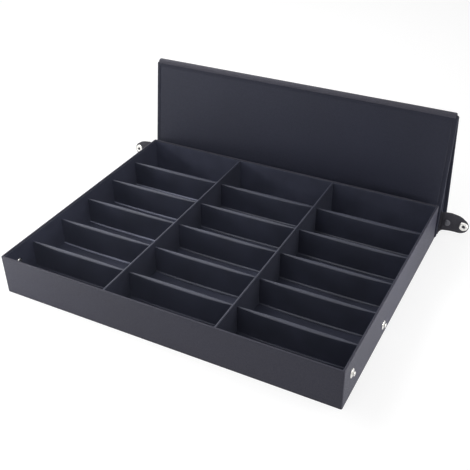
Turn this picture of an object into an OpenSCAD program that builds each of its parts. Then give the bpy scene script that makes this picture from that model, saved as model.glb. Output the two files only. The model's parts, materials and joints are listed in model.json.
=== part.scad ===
// Storage box for eighteen pairs of glasses: a leatherette tray with a folding lid.
// Origin at the centre of the tray's underside, X to the right, Y to the rear, Z up.
// The lid is shown folded into a tent behind the tray, with its two straps spread.

/* [Tray] */
// Width of the tray, left to right
tray_w = 480; // [420:1:560]
// Depth of the tray, front to rear
tray_d = 377; // [340:1:420]
// Height of the tray
tray_h = 57.5; // [50:0.5:70]
// Thickness of each covered side board
wall_t = 4; // [3:0.5:6]
// Radius of the tray's upright outer corners
corner_r = 2; // [1:0.5:4]
// Radius on both edges of the rim
rim_r = 1.2; // [0.6:0.1:1.4]
// Thickness of the cover sheet under the base
cover_t = 0.8; // [0.5:0.1:1.5]
// Thickness of the base board
base_t = 3.2; // [2:0.2:5]
// Thickness of the padded floor
pad_t = 5; // [3:0.5:8]
// Thickness of the soft lining on the walls
lining_t = 1; // [0.6:0.1:2]
// Distance from the rim down to the lining's top edge
lining_drop = 1.5; // [1.5:0.5:4]

/* [Compartments] */
// Thickness of the two long partitions
partition_t = 3; // [2:0.5:5]
// Distance from the rim down to the partitions
partition_drop = 2; // [1:0.5:6]
// Depth of the front row of compartments, the shortest; the others share the rest
front_row_d = 53; // [46:0.5:60]
// Distance from the rim down to the dividers
divider_drop = 10; // [6:0.5:20]
// Thickness of a divider's top at its two ends
divider_end_t = 3; // [2:0.5:5]
// Thickness of a divider's top at its middle
divider_mid_t = 6; // [5:0.5:9]
// How much thicker a divider is at its foot than at its top
divider_flare = 4; // [1:0.5:8]

/* [Studs] */
// Distance from the tray's front to the closing studs and the straps
closing_stud_y = 25.6; // [22:0.2:40]
// Height of the closing studs
closing_stud_z = 34; // [26:0.5:40]
// Distance from the second divider's middle back to the display studs
display_stud_gap = 18.2; // [10:0.1:40]
// Height of the display studs
display_stud_z = 17; // [16:0.5:24]
// Diameter of a stud's flange
stud_flange_d = 12; // [10:0.5:14]
// Thickness of a stud's flange
stud_flange_t = 0.8; // [0.5:0.1:1.2]
// Diameter of a stud's head
stud_head_d = 6; // [5.4:0.2:6.6]
// Height of a stud from the wall to the top of its head
stud_h = 3.5; // [3:0.1:4]
// Diameter of the post that goes through the wall
post_d = 4; // [3:0.2:5]
// Radial clearance round each post
post_clear = 0.05; // [0.02:0.01:0.1]
// Diameter of the rivet cap on a post's inner end
cap_d = 10; // [8:0.5:13]
// Thickness of the rivet cap
cap_t = 1.4; // [1.2:0.1:2]

/* [Lid] */
// How far the lid stands past each side of the tray
lid_overhang = 2; // [1:0.5:4]
// How far the closed lid reaches past the tray's front
lid_reach = 2; // [0:0.5:4]
// Thickness of a lid panel's covered board
board_t = 2.8; // [2.4:0.2:5]
// Thickness of the lining on a lid panel
lid_lining_t = 0.6; // [0.4:0.1:1.2]
// Margin of bare board round the lid lining
lining_margin = 6; // [4:1:15]
// Radius of a lid panel's corners
panel_corner_r = 3; // [2:0.5:8]
// Radius on the long edges of a lid panel
panel_edge_r = 1.1; // [0.6:0.1:1.2]
// Space between the two lid panels where they lie flat
fold_gap = 11; // [8:0.5:14]
// Space between the two lid panels at the top of the tent
tent_gap = 0.6; // [0.4:0.1:1.5]
// Thickness of the strip that joins the panels at the fold
strip_t = 0.8; // [0.5:0.1:1.2]
// Length of the strip down each panel
strip_leg = 7; // [4:0.5:12]
// Space between the strip and the panels
strip_clear = 0.2; // [0.1:0.05:0.3]
// Distance from the tray's rear wall to the front panel's foot
front_foot_y = 1.5; // [1.5:0.5:12]
// Thickness of the hinge flap on the table
flap_t = 1; // [0.6:0.1:2]
// Length of the hinge flap beyond the tray's height and one panel
flap_slack = 0.6; // [0.4:0.1:8]
// Clearance under the panels' feet and round the flap
foot_clear = 0.1; // [0.05:0.05:0.3]

/* [Straps] */
// Width of a strap
strap_w = 28; // [22:0.5:36]
// Thickness of one strap layer
strap_layer_t = 0.9; // [0.7:0.1:1]
// Radius of the flare on the side of a strap's root nearer the panel's foot
strap_low_flare = 8; // [4:0.5:10]
// Radius of the flare on the other side of the root
strap_high_flare = 2; // [1:0.5:6]
// Distance from the panel's edge to the end of the inner strap layer
tongue_reach = 20; // [18:0.5:24]
// Distance from the panel's edge to the start of the outer strap layer
strap_start = 5; // [4:0.5:6]
// Distance from the panel's edge to the rivet
rivet_reach = 11.8; // [11:0.2:14]
// Spare strap length that goes round the lid's edge
strap_slack = 8.6; // [8:0.2:12]
// Distance from the snap's centre to the strap's tip
snap_to_tip = 7.5; // [7:0.5:10]
// Space between the panel's edge and the root of a strap
root_gap = 0.3; // [0.2:0.05:0.5]
// Diameter of the snap's ring cap
snap_d = 13; // [11:0.5:14]
// Height of the snap's ring cap
snap_cap_h = 1.8; // [1.4:0.1:2.4]
// Diameter of the hollow at the middle of the ring cap
snap_eye_d = 4.4; // [3:0.2:6]
// Depth of the snap's socket
socket_h = 2.8; // [2.6:0.1:3.4]
// Wall of the snap's socket
socket_wall = 1.8; // [1:0.1:2.4]
// Diameter of the rivet's domed head
rivet_d = 9.5; // [8:0.5:11]
// Height of the rivet's domed head
rivet_h = 1.4; // [1:0.1:2]
// Diameter of the rivet's tail
rivet_tail_d = 6; // [5.5:0.5:6.5]
// Thickness of the rivet's tail
rivet_tail_t = 0.5; // [0.3:0.1:0.6]

/* [Hidden] */

// Curved faces are drawn with this many sides
$fn = 64;
// The tray is divided into three columns of six rows
columns = 3;
rows = 6;
// Sections along a divider, and points over its rounded top
divider_spans = 8;
divider_top_steps = 6;
// Rounding on the edges of the metal pieces
metal_r = 0.4;
// Depth of the blind bore in a rivet cap
cap_grip = 0.7;

leatherette = [0.24, 0.24, 0.27];
lining = [0.12, 0.13, 0.17];
nickel = [0.78, 0.78, 0.8];
gunmetal = [0.2, 0.2, 0.22];

base_top = cover_t + base_t;
floor_z = base_top + pad_t;
inner_w = tray_w - 2 * (wall_t + lining_t);
inner_d = tray_d - 2 * (wall_t + lining_t);
column_w = (inner_w - (columns - 1) * partition_t) / columns;
row_d = (inner_d - front_row_d) / (rows - 1);
display_stud_y = wall_t + lining_t + front_row_d + row_d + display_stud_gap;
partition_h = tray_h - partition_drop - floor_z;
divider_h = tray_h - divider_drop - floor_z;

post_r = post_d / 2;
post_bore_r = post_r + post_clear;
stud_neck_r = stud_head_d / 2 - 0.9;
stud_post_l = wall_t + lining_t + cap_grip - post_clear;

panel_t = board_t + lid_lining_t;
panel_l = (tray_d + lid_reach - fold_gap) / 2;
lid_w = tray_w + 2 * lid_overhang;
flap_l = tray_h + panel_t + flap_slack;
tent_top_w = 2 * panel_t + tent_gap;
lean = asin((flap_l - front_foot_y - tent_top_w) / (2 * panel_l));
// Height of the panel's outer foot corner, so that its lowest point clears the flap
foot_z = flap_t + foot_clear + panel_edge_r
    + (board_t - panel_edge_r) * sin(lean) - panel_edge_r * cos(lean);
fold_y = tray_d / 2 + (front_foot_y + flap_l) / 2;
fold_z = foot_z + panel_l * cos(lean);
strip_r = tent_top_w / 2 + strip_clear;

strap_t = 2 * strap_layer_t;
strap_mid = board_t / 2;
// Radius of the bead that a strap turns on, just fatter than one layer
root_r = strap_layer_t + 0.1;
snap_reach = tray_h - closing_stud_z + panel_t + strap_slack;
strap_reach = snap_reach + snap_to_tip;
// Distance from the panel's edge to the bead's axis, from which a strap is drawn
root_offset = root_gap + root_r;
strap_root_x = lid_w / 2 + root_offset;
socket_bore_r = stud_head_d / 2 + 0.15;
socket_r = socket_bore_r + socket_wall;
socket_floor_t = 0.6;

// Flat shapes

module rounded_rect(w, d, r) {
    square([w - 2 * r, d], center = true);
    square([w, d - 2 * r], center = true);
    for (x = [-1, 1], y = [-1, 1])
        translate([x * (w / 2 - r), y * (d / 2 - r)]) circle(r);
}

// A bar's section, t thick from x = 0 and h high from y = 0, with both top edges rounded
module rounded_top(t, h, r) {
    square([t, h - r]);
    translate([r, 0]) square([t - 2 * r, h]);
    for (x = [r, t - r]) translate([x, h - r]) circle(r);
}

// Lays a section that is drawn in Y and Z along X
module along_x(length) {
    rotate([90, 0, 90]) linear_extrude(length, center = true) children();
}

// Tray boards

// A side board whose outer face looks to -Y at the given distance, mitred at both ends
module side_board(length, distance) {
    intersection() {
        translate([0, -distance, cover_t])
            along_x(length) rounded_top(wall_t, tray_h - cover_t, rim_r);
        linear_extrude(tray_h) polygon([
            [-length / 2, -distance], [length / 2, -distance],
            [length / 2 - wall_t, wall_t - distance], [wall_t - length / 2, wall_t - distance]
        ]);
        linear_extrude(tray_h) rounded_rect(length, 2 * distance, corner_r);
    }
}

// Moves a piece that points up from the wall to a stud's place: side is -1 or 1
module at_stud(side, y, z) {
    translate([side * tray_w / 2, y - tray_d / 2, z]) rotate([0, side * 90, 0]) children();
}

module post_holes(side) {
    for (place = [[closing_stud_y, closing_stud_z], [display_stud_y, display_stud_z]])
        at_stud(side, place[0], place[1])
            translate([0, 0, -2 * (wall_t + lining_t)])
                cylinder(r = post_bore_r, h = 4 * (wall_t + lining_t));
}

module base_cover() {
    color(leatherette) linear_extrude(cover_t) rounded_rect(tray_w, tray_d, corner_r);
}

module tray_base() {
    color(leatherette) translate([wall_t - tray_w / 2, wall_t - tray_d / 2, cover_t])
        cube([tray_w - 2 * wall_t, tray_d - 2 * wall_t, base_t]);
}

module front_wall() {
    color(leatherette) side_board(tray_w, tray_d / 2);
}

module rear_wall() {
    color(leatherette) rotate([0, 0, 180]) side_board(tray_w, tray_d / 2);
}

module end_wall(side) {
    color(leatherette) difference() {
        rotate([0, 0, side * 90]) side_board(tray_d, tray_w / 2);
        post_holes(side);
    }
}

module floor_pad() {
    color(lining) translate([-inner_w / 2, -inner_d / 2, base_top])
        cube([inner_w, inner_d, pad_t]);
}

module wall_lining() {
    color(lining) difference() {
        translate([0, 0, base_top]) linear_extrude(tray_h - lining_drop - base_top)
            difference() {
                square([inner_w + 2 * lining_t, inner_d + 2 * lining_t], center = true);
                square([inner_w, inner_d], center = true);
            }
        for (side = [-1, 1]) post_holes(side);
    }
}

// Partition between two columns: the index counts from 1 at the left
module partition(index) {
    x = (index - columns / 2) * (column_w + partition_t);
    color(lining) translate([x, 0, floor_z]) rotate([0, 0, 90])
        translate([0, -partition_t / 2, 0])
            along_x(inner_d) rounded_top(partition_t, partition_h, partition_t / 2 - 0.1);
}

// Section of a divider at u, which runs from -1 to 1 along its length
function divider_section(u) =
    let (
        top = (divider_end_t + (divider_mid_t - divider_end_t) * (1 - u * u)) / 2,
        foot = top + divider_flare / 2
    )
    concat(
        [[-foot, 0]],
        [for (i = [0:divider_top_steps])
            let (angle = 180 - 180 * i / divider_top_steps)
            [top * cos(angle), divider_h - top + top * sin(angle)]],
        [[foot, 0]]
    );

// Triangles of a solid whose sections have n points each
function skin(sections, n) = concat(
    [[for (i = [n - 1:-1:0]) i]],
    [for (s = [0:sections - 2], i = [0:n - 1])
        [s * n + i, s * n + (i + 1) % n, (s + 1) * n + (i + 1) % n]],
    [for (s = [0:sections - 2], i = [0:n - 1])
        [s * n + i, (s + 1) * n + (i + 1) % n, (s + 1) * n + i]],
    [[for (i = [0:n - 1]) (sections - 1) * n + i]]
);

// Padded divider, thicker at its middle and at its foot: column and row count from 1
module divider(column, row) {
    x = (column - (columns + 1) / 2) * (column_w + partition_t);
    y = inner_d / 2 - (rows - row) * row_d;
    n = divider_top_steps + 3;
    color(lining) translate([x, y, floor_z]) polyhedron(
        points = [for (s = [0:divider_spans], point = divider_section(2 * s / divider_spans - 1))
            [(s / divider_spans - 0.5) * column_w, point[0], point[1]]],
        faces = skin(divider_spans + 1, n)
    );
}

// Metal fittings of the tray

module stud() {
    head_r = stud_head_d / 2;
    flange_r = stud_flange_d / 2;
    rotate_extrude() polygon([
        [0, -stud_post_l], [post_r, -stud_post_l], [post_r, 0],
        [flange_r - metal_r, 0], [flange_r, metal_r], [flange_r - metal_r, stud_flange_t],
        [stud_neck_r, stud_flange_t], [stud_neck_r, stud_h - 1.6],
        [head_r, stud_h - 1], [head_r, stud_h - metal_r],
        [head_r - metal_r, stud_h], [0, stud_h]
    ]);
}

// Domed cap over a post's inner end
module stud_cap() {
    cap_r = cap_d / 2;
    translate([0, 0, -wall_t - lining_t]) mirror([0, 0, 1]) rotate_extrude() polygon([
        [post_bore_r, 0], [cap_r, 0], [cap_r, 0.4], [cap_r - 1, 0.9],
        [cap_r - 2.5, cap_t], [0, cap_t], [0, cap_grip], [post_bore_r, cap_grip]
    ]);
}

module closing_studs() {
    color(nickel) for (side = [-1, 1]) at_stud(side, closing_stud_y, closing_stud_z) stud();
}

module closing_stud_caps() {
    color(gunmetal) for (side = [-1, 1])
        at_stud(side, closing_stud_y, closing_stud_z) stud_cap();
}

module display_studs() {
    color(nickel) for (side = [-1, 1]) at_stud(side, display_stud_y, display_stud_z) stud();
}

module display_stud_caps() {
    color(gunmetal) for (side = [-1, 1])
        at_stud(side, display_stud_y, display_stud_z) stud_cap();
}

// Lid. A panel is drawn with its outer foot edge on X, its length up Z and its thickness to +Y

module at_front_panel() {
    translate([0, tray_d / 2 + front_foot_y, foot_z]) rotate([-lean, 0, 0]) children();
}

module at_rear_panel() {
    translate([0, tray_d / 2 + flap_l, foot_z]) rotate([lean, 0, 0])
        mirror([0, 1, 0]) children();
}

module panel_board() {
    color(leatherette) intersection() {
        along_x(lid_w) translate([board_t / 2, panel_l / 2])
            rounded_rect(board_t, panel_l, panel_edge_r);
        translate([0, board_t, panel_l / 2]) rotate([90, 0, 0])
            linear_extrude(board_t) rounded_rect(lid_w, panel_l, panel_corner_r);
    }
}

module panel_lining() {
    color(lining) translate([0, panel_t, panel_l / 2]) rotate([90, 0, 0])
        linear_extrude(lid_lining_t)
            rounded_rect(lid_w - 2 * lining_margin, panel_l - 2 * lining_margin, panel_corner_r);
}

module hinge_flap() {
    color(leatherette) translate([-tray_w / 2, tray_d / 2 + 3 * foot_clear, 0])
        cube([tray_w, flap_l - 6 * foot_clear, flap_t]);
}

// Strip over the tops of both panels, with a leg down each outer face
module fold_strip() {
    outer_r = strip_r + strip_t;
    far = 4 * outer_r;
    // The arc reaches a little into each leg, so that they are one piece
    low = lean - 3;
    color(leatherette) translate([0, fold_y, fold_z]) along_x(lid_w - 2 * panel_corner_r) {
        intersection() {
            difference() {
                circle(outer_r);
                circle(strip_r);
            }
            polygon([
                [0, 0], [far * cos(low), far * sin(low)],
                [0, far], [-far * cos(low), far * sin(low)]
            ]);
        }
        for (side = [-1, 1]) rotate(side * lean)
            translate([side * (strip_r + strip_t / 2), -strip_leg / 2])
                square([strip_t, strip_leg], center = true);
    }
}

// Straps. A strap is drawn for the right side: X away from its root, Y along the root

module at_strap(side) {
    at_front_panel() mirror([side < 0 ? 1 : 0, 0, 0])
        translate([strap_root_x, strap_mid, closing_stud_y + lid_reach])
            rotate([90, 0, 0]) children();
}

// Fillet between the root's line and the strap's edge at y = 0, below that edge
module flare(r) {
    difference() {
        translate([0, -r]) square(r);
        translate([r, -r]) circle(r);
    }
}

module post_hole(reach) {
    translate([reach - root_offset, 0, -strap_t]) cylinder(r = post_bore_r, h = 2 * strap_t);
}

module strap_tongue(side) {
    length = tongue_reach - root_offset;
    root_l = strap_w + strap_low_flare + strap_high_flare;
    color(leatherette) at_strap(side) difference() {
        union() {
            translate([0, 0, -strap_layer_t]) linear_extrude(strap_layer_t) {
                translate([0, -strap_w / 2]) square([length - 3, strap_w]);
                translate([length - 6, 0]) rounded_rect(12, strap_w, 3);
                translate([0, -strap_w / 2]) flare(strap_low_flare);
                translate([0, strap_w / 2]) mirror([0, 1]) flare(strap_high_flare);
            }
            translate([0, strap_high_flare + strap_w / 2, 0]) rotate([90, 0, 0])
                cylinder(r = root_r, h = root_l);
        }
        post_hole(rivet_reach);
    }
}

module strap(side) {
    start = strap_start - root_offset;
    end_x = strap_reach - root_offset - strap_w / 2;
    color(leatherette) at_strap(side) difference() {
        linear_extrude(strap_layer_t) {
            translate([start, -strap_w / 2]) square([end_x - start, strap_w]);
            translate([end_x, 0]) circle(strap_w / 2);
        }
        post_hole(rivet_reach);
        post_hole(snap_reach);
    }
}

module strap_rivet(side) {
    head_r = rivet_d / 2;
    tail_r = rivet_tail_d / 2;
    color(gunmetal) at_strap(side) translate([rivet_reach - root_offset, 0, 0])
        rotate_extrude() polygon([
            [0, -strap_layer_t - rivet_tail_t], [tail_r - 0.2, -strap_layer_t - rivet_tail_t],
            [tail_r, -strap_layer_t], [post_r, -strap_layer_t], [post_r, strap_layer_t],
            [head_r, strap_layer_t], [head_r - 0.3, strap_layer_t + rivet_h * 0.5],
            [head_r * 0.6, strap_layer_t + rivet_h * 0.9], [0, strap_layer_t + rivet_h]
        ]);
}

// Ring cap with a hollow at its middle, and a post through the strap
module snap_cap(side) {
    ring_r = snap_d / 2;
    eye_r = snap_eye_d / 2;
    base = strap_layer_t;
    color(nickel) at_strap(side) translate([snap_reach - root_offset, 0, 0])
        rotate_extrude() polygon([
            [0, -socket_floor_t], [post_r, -socket_floor_t], [post_r, base],
            [ring_r - 0.3, base], [ring_r, base + snap_cap_h * 0.4],
            [ring_r - 0.5, base + snap_cap_h * 0.75], [ring_r - 1.6, base + snap_cap_h],
            [eye_r + 1, base + snap_cap_h], [eye_r + 0.2, base + snap_cap_h * 0.8],
            [eye_r, base + snap_cap_h * 0.3], [0, base + snap_cap_h * 0.3]
        ]);
}

// Socket that takes the head of a stud
module snap_socket(side) {
    color(nickel) at_strap(side) translate([snap_reach - root_offset, 0, 0])
        mirror([0, 0, 1]) rotate_extrude() polygon([
            [post_bore_r, 0], [socket_r, 0], [socket_r, socket_h - metal_r],
            [socket_r - metal_r, socket_h], [socket_bore_r, socket_h],
            [socket_bore_r, socket_floor_t], [post_bore_r, socket_floor_t]
        ]);
}

base_cover();
tray_base();
front_wall();
rear_wall();
end_wall(-1);  // left_wall
end_wall(1);  // right_wall
floor_pad();
wall_lining();
partition(1);  // partition_left
partition(2);  // partition_right
for (column = [1:columns], row = [1:rows - 1])
    divider(column, row);
closing_studs();
closing_stud_caps();
display_studs();
display_stud_caps();
hinge_flap();
at_rear_panel() panel_board();  // rear_panel
at_rear_panel() panel_lining();  // rear_panel_lining
fold_strip();
at_front_panel() panel_board();  // front_panel
at_front_panel() panel_lining();  // front_panel_lining
strap_tongue(-1);  // strap_tongue_left
strap(-1);  // strap_left
strap_rivet(-1);  // strap_rivet_left
snap_cap(-1);  // snap_cap_left
snap_socket(-1);  // snap_socket_left
strap_tongue(1);  // strap_tongue_right
strap(1);  // strap_right
strap_rivet(1);  // strap_rivet_right
snap_cap(1);  // snap_cap_right
snap_socket(1);  // snap_socket_right
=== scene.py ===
"""A storage box for glasses: a leatherette tray with padded compartments and a folding lid.

The tray lies on a pale floor. Its lid stands behind it as a tent of two panels, with a snap strap
at each side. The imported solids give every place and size, in metres: X to the right, Y to the
rear, Z up, with the origin at the centre of the tray's underside.
"""
import json
import logging
import math
from dataclasses import dataclass, field
from enum import Enum
from typing import Optional, Sequence

import bmesh
import bpy
from mathutils import Matrix, Vector, noise


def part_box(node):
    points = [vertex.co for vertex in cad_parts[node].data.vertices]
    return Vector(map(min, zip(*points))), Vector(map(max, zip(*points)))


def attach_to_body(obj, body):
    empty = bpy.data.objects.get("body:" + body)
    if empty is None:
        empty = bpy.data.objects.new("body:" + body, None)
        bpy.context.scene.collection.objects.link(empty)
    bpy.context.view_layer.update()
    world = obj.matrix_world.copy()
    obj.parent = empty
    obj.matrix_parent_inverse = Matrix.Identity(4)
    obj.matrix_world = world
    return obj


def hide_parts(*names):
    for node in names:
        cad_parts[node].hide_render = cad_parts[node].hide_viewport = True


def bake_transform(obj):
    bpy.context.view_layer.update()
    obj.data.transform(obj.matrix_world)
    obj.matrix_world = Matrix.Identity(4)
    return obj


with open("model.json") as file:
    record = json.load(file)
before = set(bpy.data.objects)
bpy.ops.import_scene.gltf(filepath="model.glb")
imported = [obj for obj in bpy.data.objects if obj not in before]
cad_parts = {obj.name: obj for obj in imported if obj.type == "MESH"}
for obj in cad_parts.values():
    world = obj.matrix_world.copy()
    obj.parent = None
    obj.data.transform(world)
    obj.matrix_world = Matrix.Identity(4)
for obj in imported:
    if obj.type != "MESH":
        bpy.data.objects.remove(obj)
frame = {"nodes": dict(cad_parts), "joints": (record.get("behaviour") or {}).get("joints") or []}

log = logging.getLogger("glasses_box")

MM = 0.001
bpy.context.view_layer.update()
CORNER_STEPS = 8
MERGE_DISTANCE = 1e-6
DEGENERATE_LENGTH = 1e-7
SHARP_ANGLE = math.radians(50)
RAMP_ENDS = (0.3, 0.7)
NODE_PITCH = 180
WHITE = (1.0, 1.0, 1.0)

Point2 = tuple[float, float]
Point3 = tuple[float, float, float]
Socket = bpy.types.NodeSocket


class Body(str, Enum):
    """The bodies that the pieces ride on."""

    TRAY = "tray"
    FLAP = "hinge_flap"
    REAR = "rear_panel"
    FRONT = "front_panel"
    STRAP_LEFT = "strap_left"
    STRAP_RIGHT = "strap_right"


class Side(Enum):
    """A side of the box, with its sign along X."""

    LEFT = -1
    RIGHT = 1

    @property
    def word(self) -> str:
        """The side's name in lower case."""
        return self.name.lower()

    @property
    def strap_body(self) -> Body:
        """The body of the strap on this side."""
        return Body.STRAP_LEFT if self is Side.LEFT else Body.STRAP_RIGHT


class Slot(str, Enum):
    """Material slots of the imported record."""

    LEATHERETTE = "leatherette"
    STRAP = "strap"
    LINING = "lining"
    NICKEL = "nickel"
    GUNMETAL = "gunmetal"


# Shader groups and finishes


class Shader:
    """Adds nodes to a node tree and links them, left to right."""

    def __init__(self, tree: bpy.types.NodeTree) -> None:
        """Wraps a tree.

        Args:
            tree: The material's or group's node tree.
        """
        self.tree = tree
        self.column = 0

    def add(self, kind: str, **settings: object) -> bpy.types.Node:
        """Adds a node and sets its properties.

        Args:
            kind: The node's type name.
            settings: Properties to set on the node.

        Returns:
            The new node.
        """
        node = self.tree.nodes.new(kind)
        node.location = (self.column * NODE_PITCH, 0)
        self.column += 1
        for name, value in settings.items():
            setattr(node, name, value)
        return node

    def link(self, source: Socket, target: Socket) -> None:
        """Links two sockets."""
        self.tree.links.new(source, target)

    def feed(self, value: object, target: Socket) -> None:
        """Links a socket to a target, or sets the target to a plain value."""
        if isinstance(value, Socket):
            self.link(value, target)
        else:
            target.default_value = value

    def math(self, operation: str, *values: object) -> Socket:
        """Adds a Math node.

        Args:
            operation: The node's operation.
            values: Its inputs in order, each a socket or a number.

        Returns:
            The node's output.
        """
        node = self.add("ShaderNodeMath", operation=operation)
        for value, target in zip(values, node.inputs):
            self.feed(value, target)
        return node.outputs[0]

    def noise(
        self, place: Socket, scale: object, detail: float = 2.0, rough: float = 0.5
    ) -> bpy.types.Node:
        """Adds a Noise Texture.

        Args:
            place: The coordinates that it reads.
            scale: Its scale in one metre, a socket or a number.
            detail: Its octaves.
            rough: How strong its finer octaves are.

        Returns:
            The node.
        """
        node = self.add("ShaderNodeTexNoise")
        self.link(place, node.inputs["Vector"])
        self.feed(scale, node.inputs["Scale"])
        node.inputs["Detail"].default_value = detail
        node.inputs["Roughness"].default_value = rough
        return node

    def multiplied(self, base: Socket, by: object, share: object) -> Socket:
        """Multiplies a colour by another.

        Args:
            base: The colour.
            by: The other colour, a socket or a plain one.
            share: How far it is multiplied, a socket or a number.

        Returns:
            The new colour.
        """
        node = self.add("ShaderNodeMix", data_type="RGBA", blend_type="MULTIPLY")
        self.feed(share, node.inputs["Factor"])
        self.link(base, node.inputs["A"])
        self.feed(by, node.inputs["B"])
        return node.outputs["Result"]

    def bump(self, height: Socket, distance: float, shader: bpy.types.Node) -> None:
        """Raises a shader's surface with a Bump node.

        Args:
            height: The height.
            distance: Its depth in metres.
            shader: The shader whose normal it feeds.
        """
        node = self.add("ShaderNodeBump")
        node.inputs["Distance"].default_value = distance
        self.link(height, node.inputs["Height"])
        self.link(node.outputs["Normal"], shader.inputs["Normal"])

    def seen_rays(self, *kinds: str) -> Socket:
        """Adds a Light Path node and a mask of the named kinds of ray.

        Args:
            kinds: Names of the node's outputs.

        Returns:
            1 for a ray of these kinds, and 0 for any other.
        """
        path = self.add("ShaderNodeLightPath")
        seen = path.outputs[kinds[0]]
        for kind in kinds[1:]:
            seen = self.math("MAXIMUM", seen, path.outputs[kind])
        return seen


@dataclass(frozen=True)
class GroupInput:
    """A named input of a shader group.

    Attributes:
        name: The socket's name.
        kind: The socket's type.
        value: Its default value, if it has one.
    """

    name: str
    kind: str = "NodeSocketFloat"
    value: Optional[float] = None


def shader_group(
    name: str, inputs: Sequence[GroupInput], outputs: Sequence[str]
) -> tuple[bpy.types.NodeTree, Shader, bpy.types.Node, bpy.types.Node]:
    """Starts a shader node group with named sockets.

    Args:
        name: The group's name.
        inputs: Its inputs.
        outputs: Names of its outputs, each a float.

    Returns:
        The group, a Shader on it, its input node and its output node.
    """
    tree = bpy.data.node_groups.new(name, "ShaderNodeTree")
    for entry in inputs:
        socket = tree.interface.new_socket(entry.name, in_out="INPUT", socket_type=entry.kind)
        if entry.value is not None:
            socket.default_value = entry.value
    for output in outputs:
        tree.interface.new_socket(output, in_out="OUTPUT", socket_type="NodeSocketFloat")
    shader = Shader(tree)
    return tree, shader, shader.add("NodeGroupInput"), shader.add("NodeGroupOutput")


def pebble_group() -> bpy.types.NodeTree:
    """Builds the leatherette's pebbled grain: rounded cells with fine creases between them.

    Returns:
        A group with outputs Height and Crease.
    """
    bends_per_metre, bend_reach, dome_edge = 260.0, 1.6 * MM, 0.32
    tree, sh, start, end = shader_group(
        "pebble_grain",
        [GroupInput("Vector", "NodeSocketVector"), GroupInput("Cells per metre", value=900.0)],
        ["Height", "Crease"],
    )
    place = start.outputs["Vector"]
    push = sh.add("ShaderNodeVectorMath", operation="SCALE")
    push.inputs["Scale"].default_value = bend_reach
    sh.link(sh.noise(place, bends_per_metre).outputs["Color"], push.inputs[0])
    moved = sh.add("ShaderNodeVectorMath", operation="ADD")
    sh.link(place, moved.inputs[0])
    sh.link(push.outputs["Vector"], moved.inputs[1])
    cells = sh.add("ShaderNodeTexVoronoi", feature="DISTANCE_TO_EDGE")
    sh.link(moved.outputs["Vector"], cells.inputs["Vector"])
    sh.link(start.outputs["Cells per metre"], cells.inputs["Scale"])
    dome = sh.add("ShaderNodeMapRange", interpolation_type="SMOOTHSTEP")
    dome.inputs["From Max"].default_value = dome_edge
    sh.link(cells.outputs["Distance"], dome.inputs["Value"])
    sh.link(dome.outputs["Result"], end.inputs["Height"])
    sh.link(sh.math("SUBTRACT", 1.0, dome.outputs["Result"]), end.inputs["Crease"])
    return tree


@dataclass(frozen=True)
class NoiseLayer:
    """One output of a group of noises.

    Attributes:
        output: The output's name.
        scale: Its scale in one metre, or None where the group's input gives it.
        detail: Its octaves.
        rough: How strong its finer octaves are.
        squeeze: Factors on the coordinates, if the noise is drawn out.
    """

    output: str
    scale: Optional[float] = None
    detail: float = 2.0
    rough: float = 0.5
    squeeze: Optional[Point3] = None


def noise_group(
    name: str, scale_name: str, scale: float, layers: Sequence[NoiseLayer]
) -> bpy.types.NodeTree:
    """Builds a group of noises on the same coordinates.

    Args:
        name: The group's name.
        scale_name: The name of the input for the scale.
        scale: That input's default value.
        layers: The group's outputs.

    Returns:
        The group.
    """
    tree, sh, start, end = shader_group(
        name,
        [GroupInput("Vector", "NodeSocketVector"), GroupInput(scale_name, value=scale)],
        [layer.output for layer in layers],
    )
    for layer in layers:
        place = start.outputs["Vector"]
        if layer.squeeze:
            mapping = sh.add("ShaderNodeMapping")
            mapping.inputs["Scale"].default_value = layer.squeeze
            sh.link(place, mapping.inputs["Vector"])
            place = mapping.outputs["Vector"]
        own_scale = start.outputs[scale_name] if layer.scale is None else layer.scale
        cloud = sh.noise(place, own_scale, layer.detail, layer.rough)
        sh.link(cloud.outputs["Fac"], end.inputs[layer.output])
    return tree


@dataclass(frozen=True)
class Groups:
    """The shader groups that the finishes share.

    Attributes:
        pebble: The leatherette's pebbled grain.
        nap: The suede's brushed fibres, and the patches where they lie over.
        drift: The slow drift of tone and the faint waves of a covered board.
        marks: The turning marks and rubbed spots of small metal fittings.
    """

    pebble: bpy.types.NodeTree
    nap: bpy.types.NodeTree
    drift: bpy.types.NodeTree
    marks: bpy.types.NodeTree

    @classmethod
    def build(cls) -> "Groups":
        """Builds each group once."""
        return cls(
            pebble=pebble_group(),
            nap=noise_group(
                "suede_nap", "Fibres per metre", 3200.0,
                [NoiseLayer("Fibre", detail=3.0, rough=0.7), NoiseLayer("Patch", 28.0, 4.0)],
            ),
            drift=noise_group(
                "board_drift", "Patches per metre", 7.0,
                [NoiseLayer("Tone", detail=3.0), NoiseLayer("Wave", 22.0, 1.0)],
            ),
            marks=noise_group(
                "metal_marks", "Marks per metre", 1500.0,
                [
                    NoiseLayer("Mark", detail=4.0, squeeze=(1.0, 0.25, 0.25)),
                    NoiseLayer("Rub", 420.0),
                ],
            ),
        )


def start_material(name: str) -> tuple[bpy.types.Material, Shader, bpy.types.Node, Socket]:
    """Starts a node material on Object coordinates.

    Args:
        name: The material's name.

    Returns:
        The material, a Shader on it, its Principled BSDF and its Object coordinates.
    """
    material = bpy.data.materials.new(name)
    material.use_nodes = True
    sh = Shader(material.node_tree)
    bsdf = material.node_tree.nodes["Principled BSDF"]
    return material, sh, bsdf, sh.add("ShaderNodeTexCoord").outputs["Object"]


def place_group(
    sh: Shader, group: bpy.types.NodeTree, place: Socket, scale: float
) -> bpy.types.Node:
    """Puts a shader group into a material.

    Args:
        sh: The material's Shader.
        group: The group.
        place: The coordinates that it reads.
        scale: The value of its second input.

    Returns:
        The group's node.
    """
    node = sh.add("ShaderNodeGroup", node_tree=group)
    sh.link(place, node.inputs["Vector"])
    node.inputs[1].default_value = scale
    return node


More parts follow.
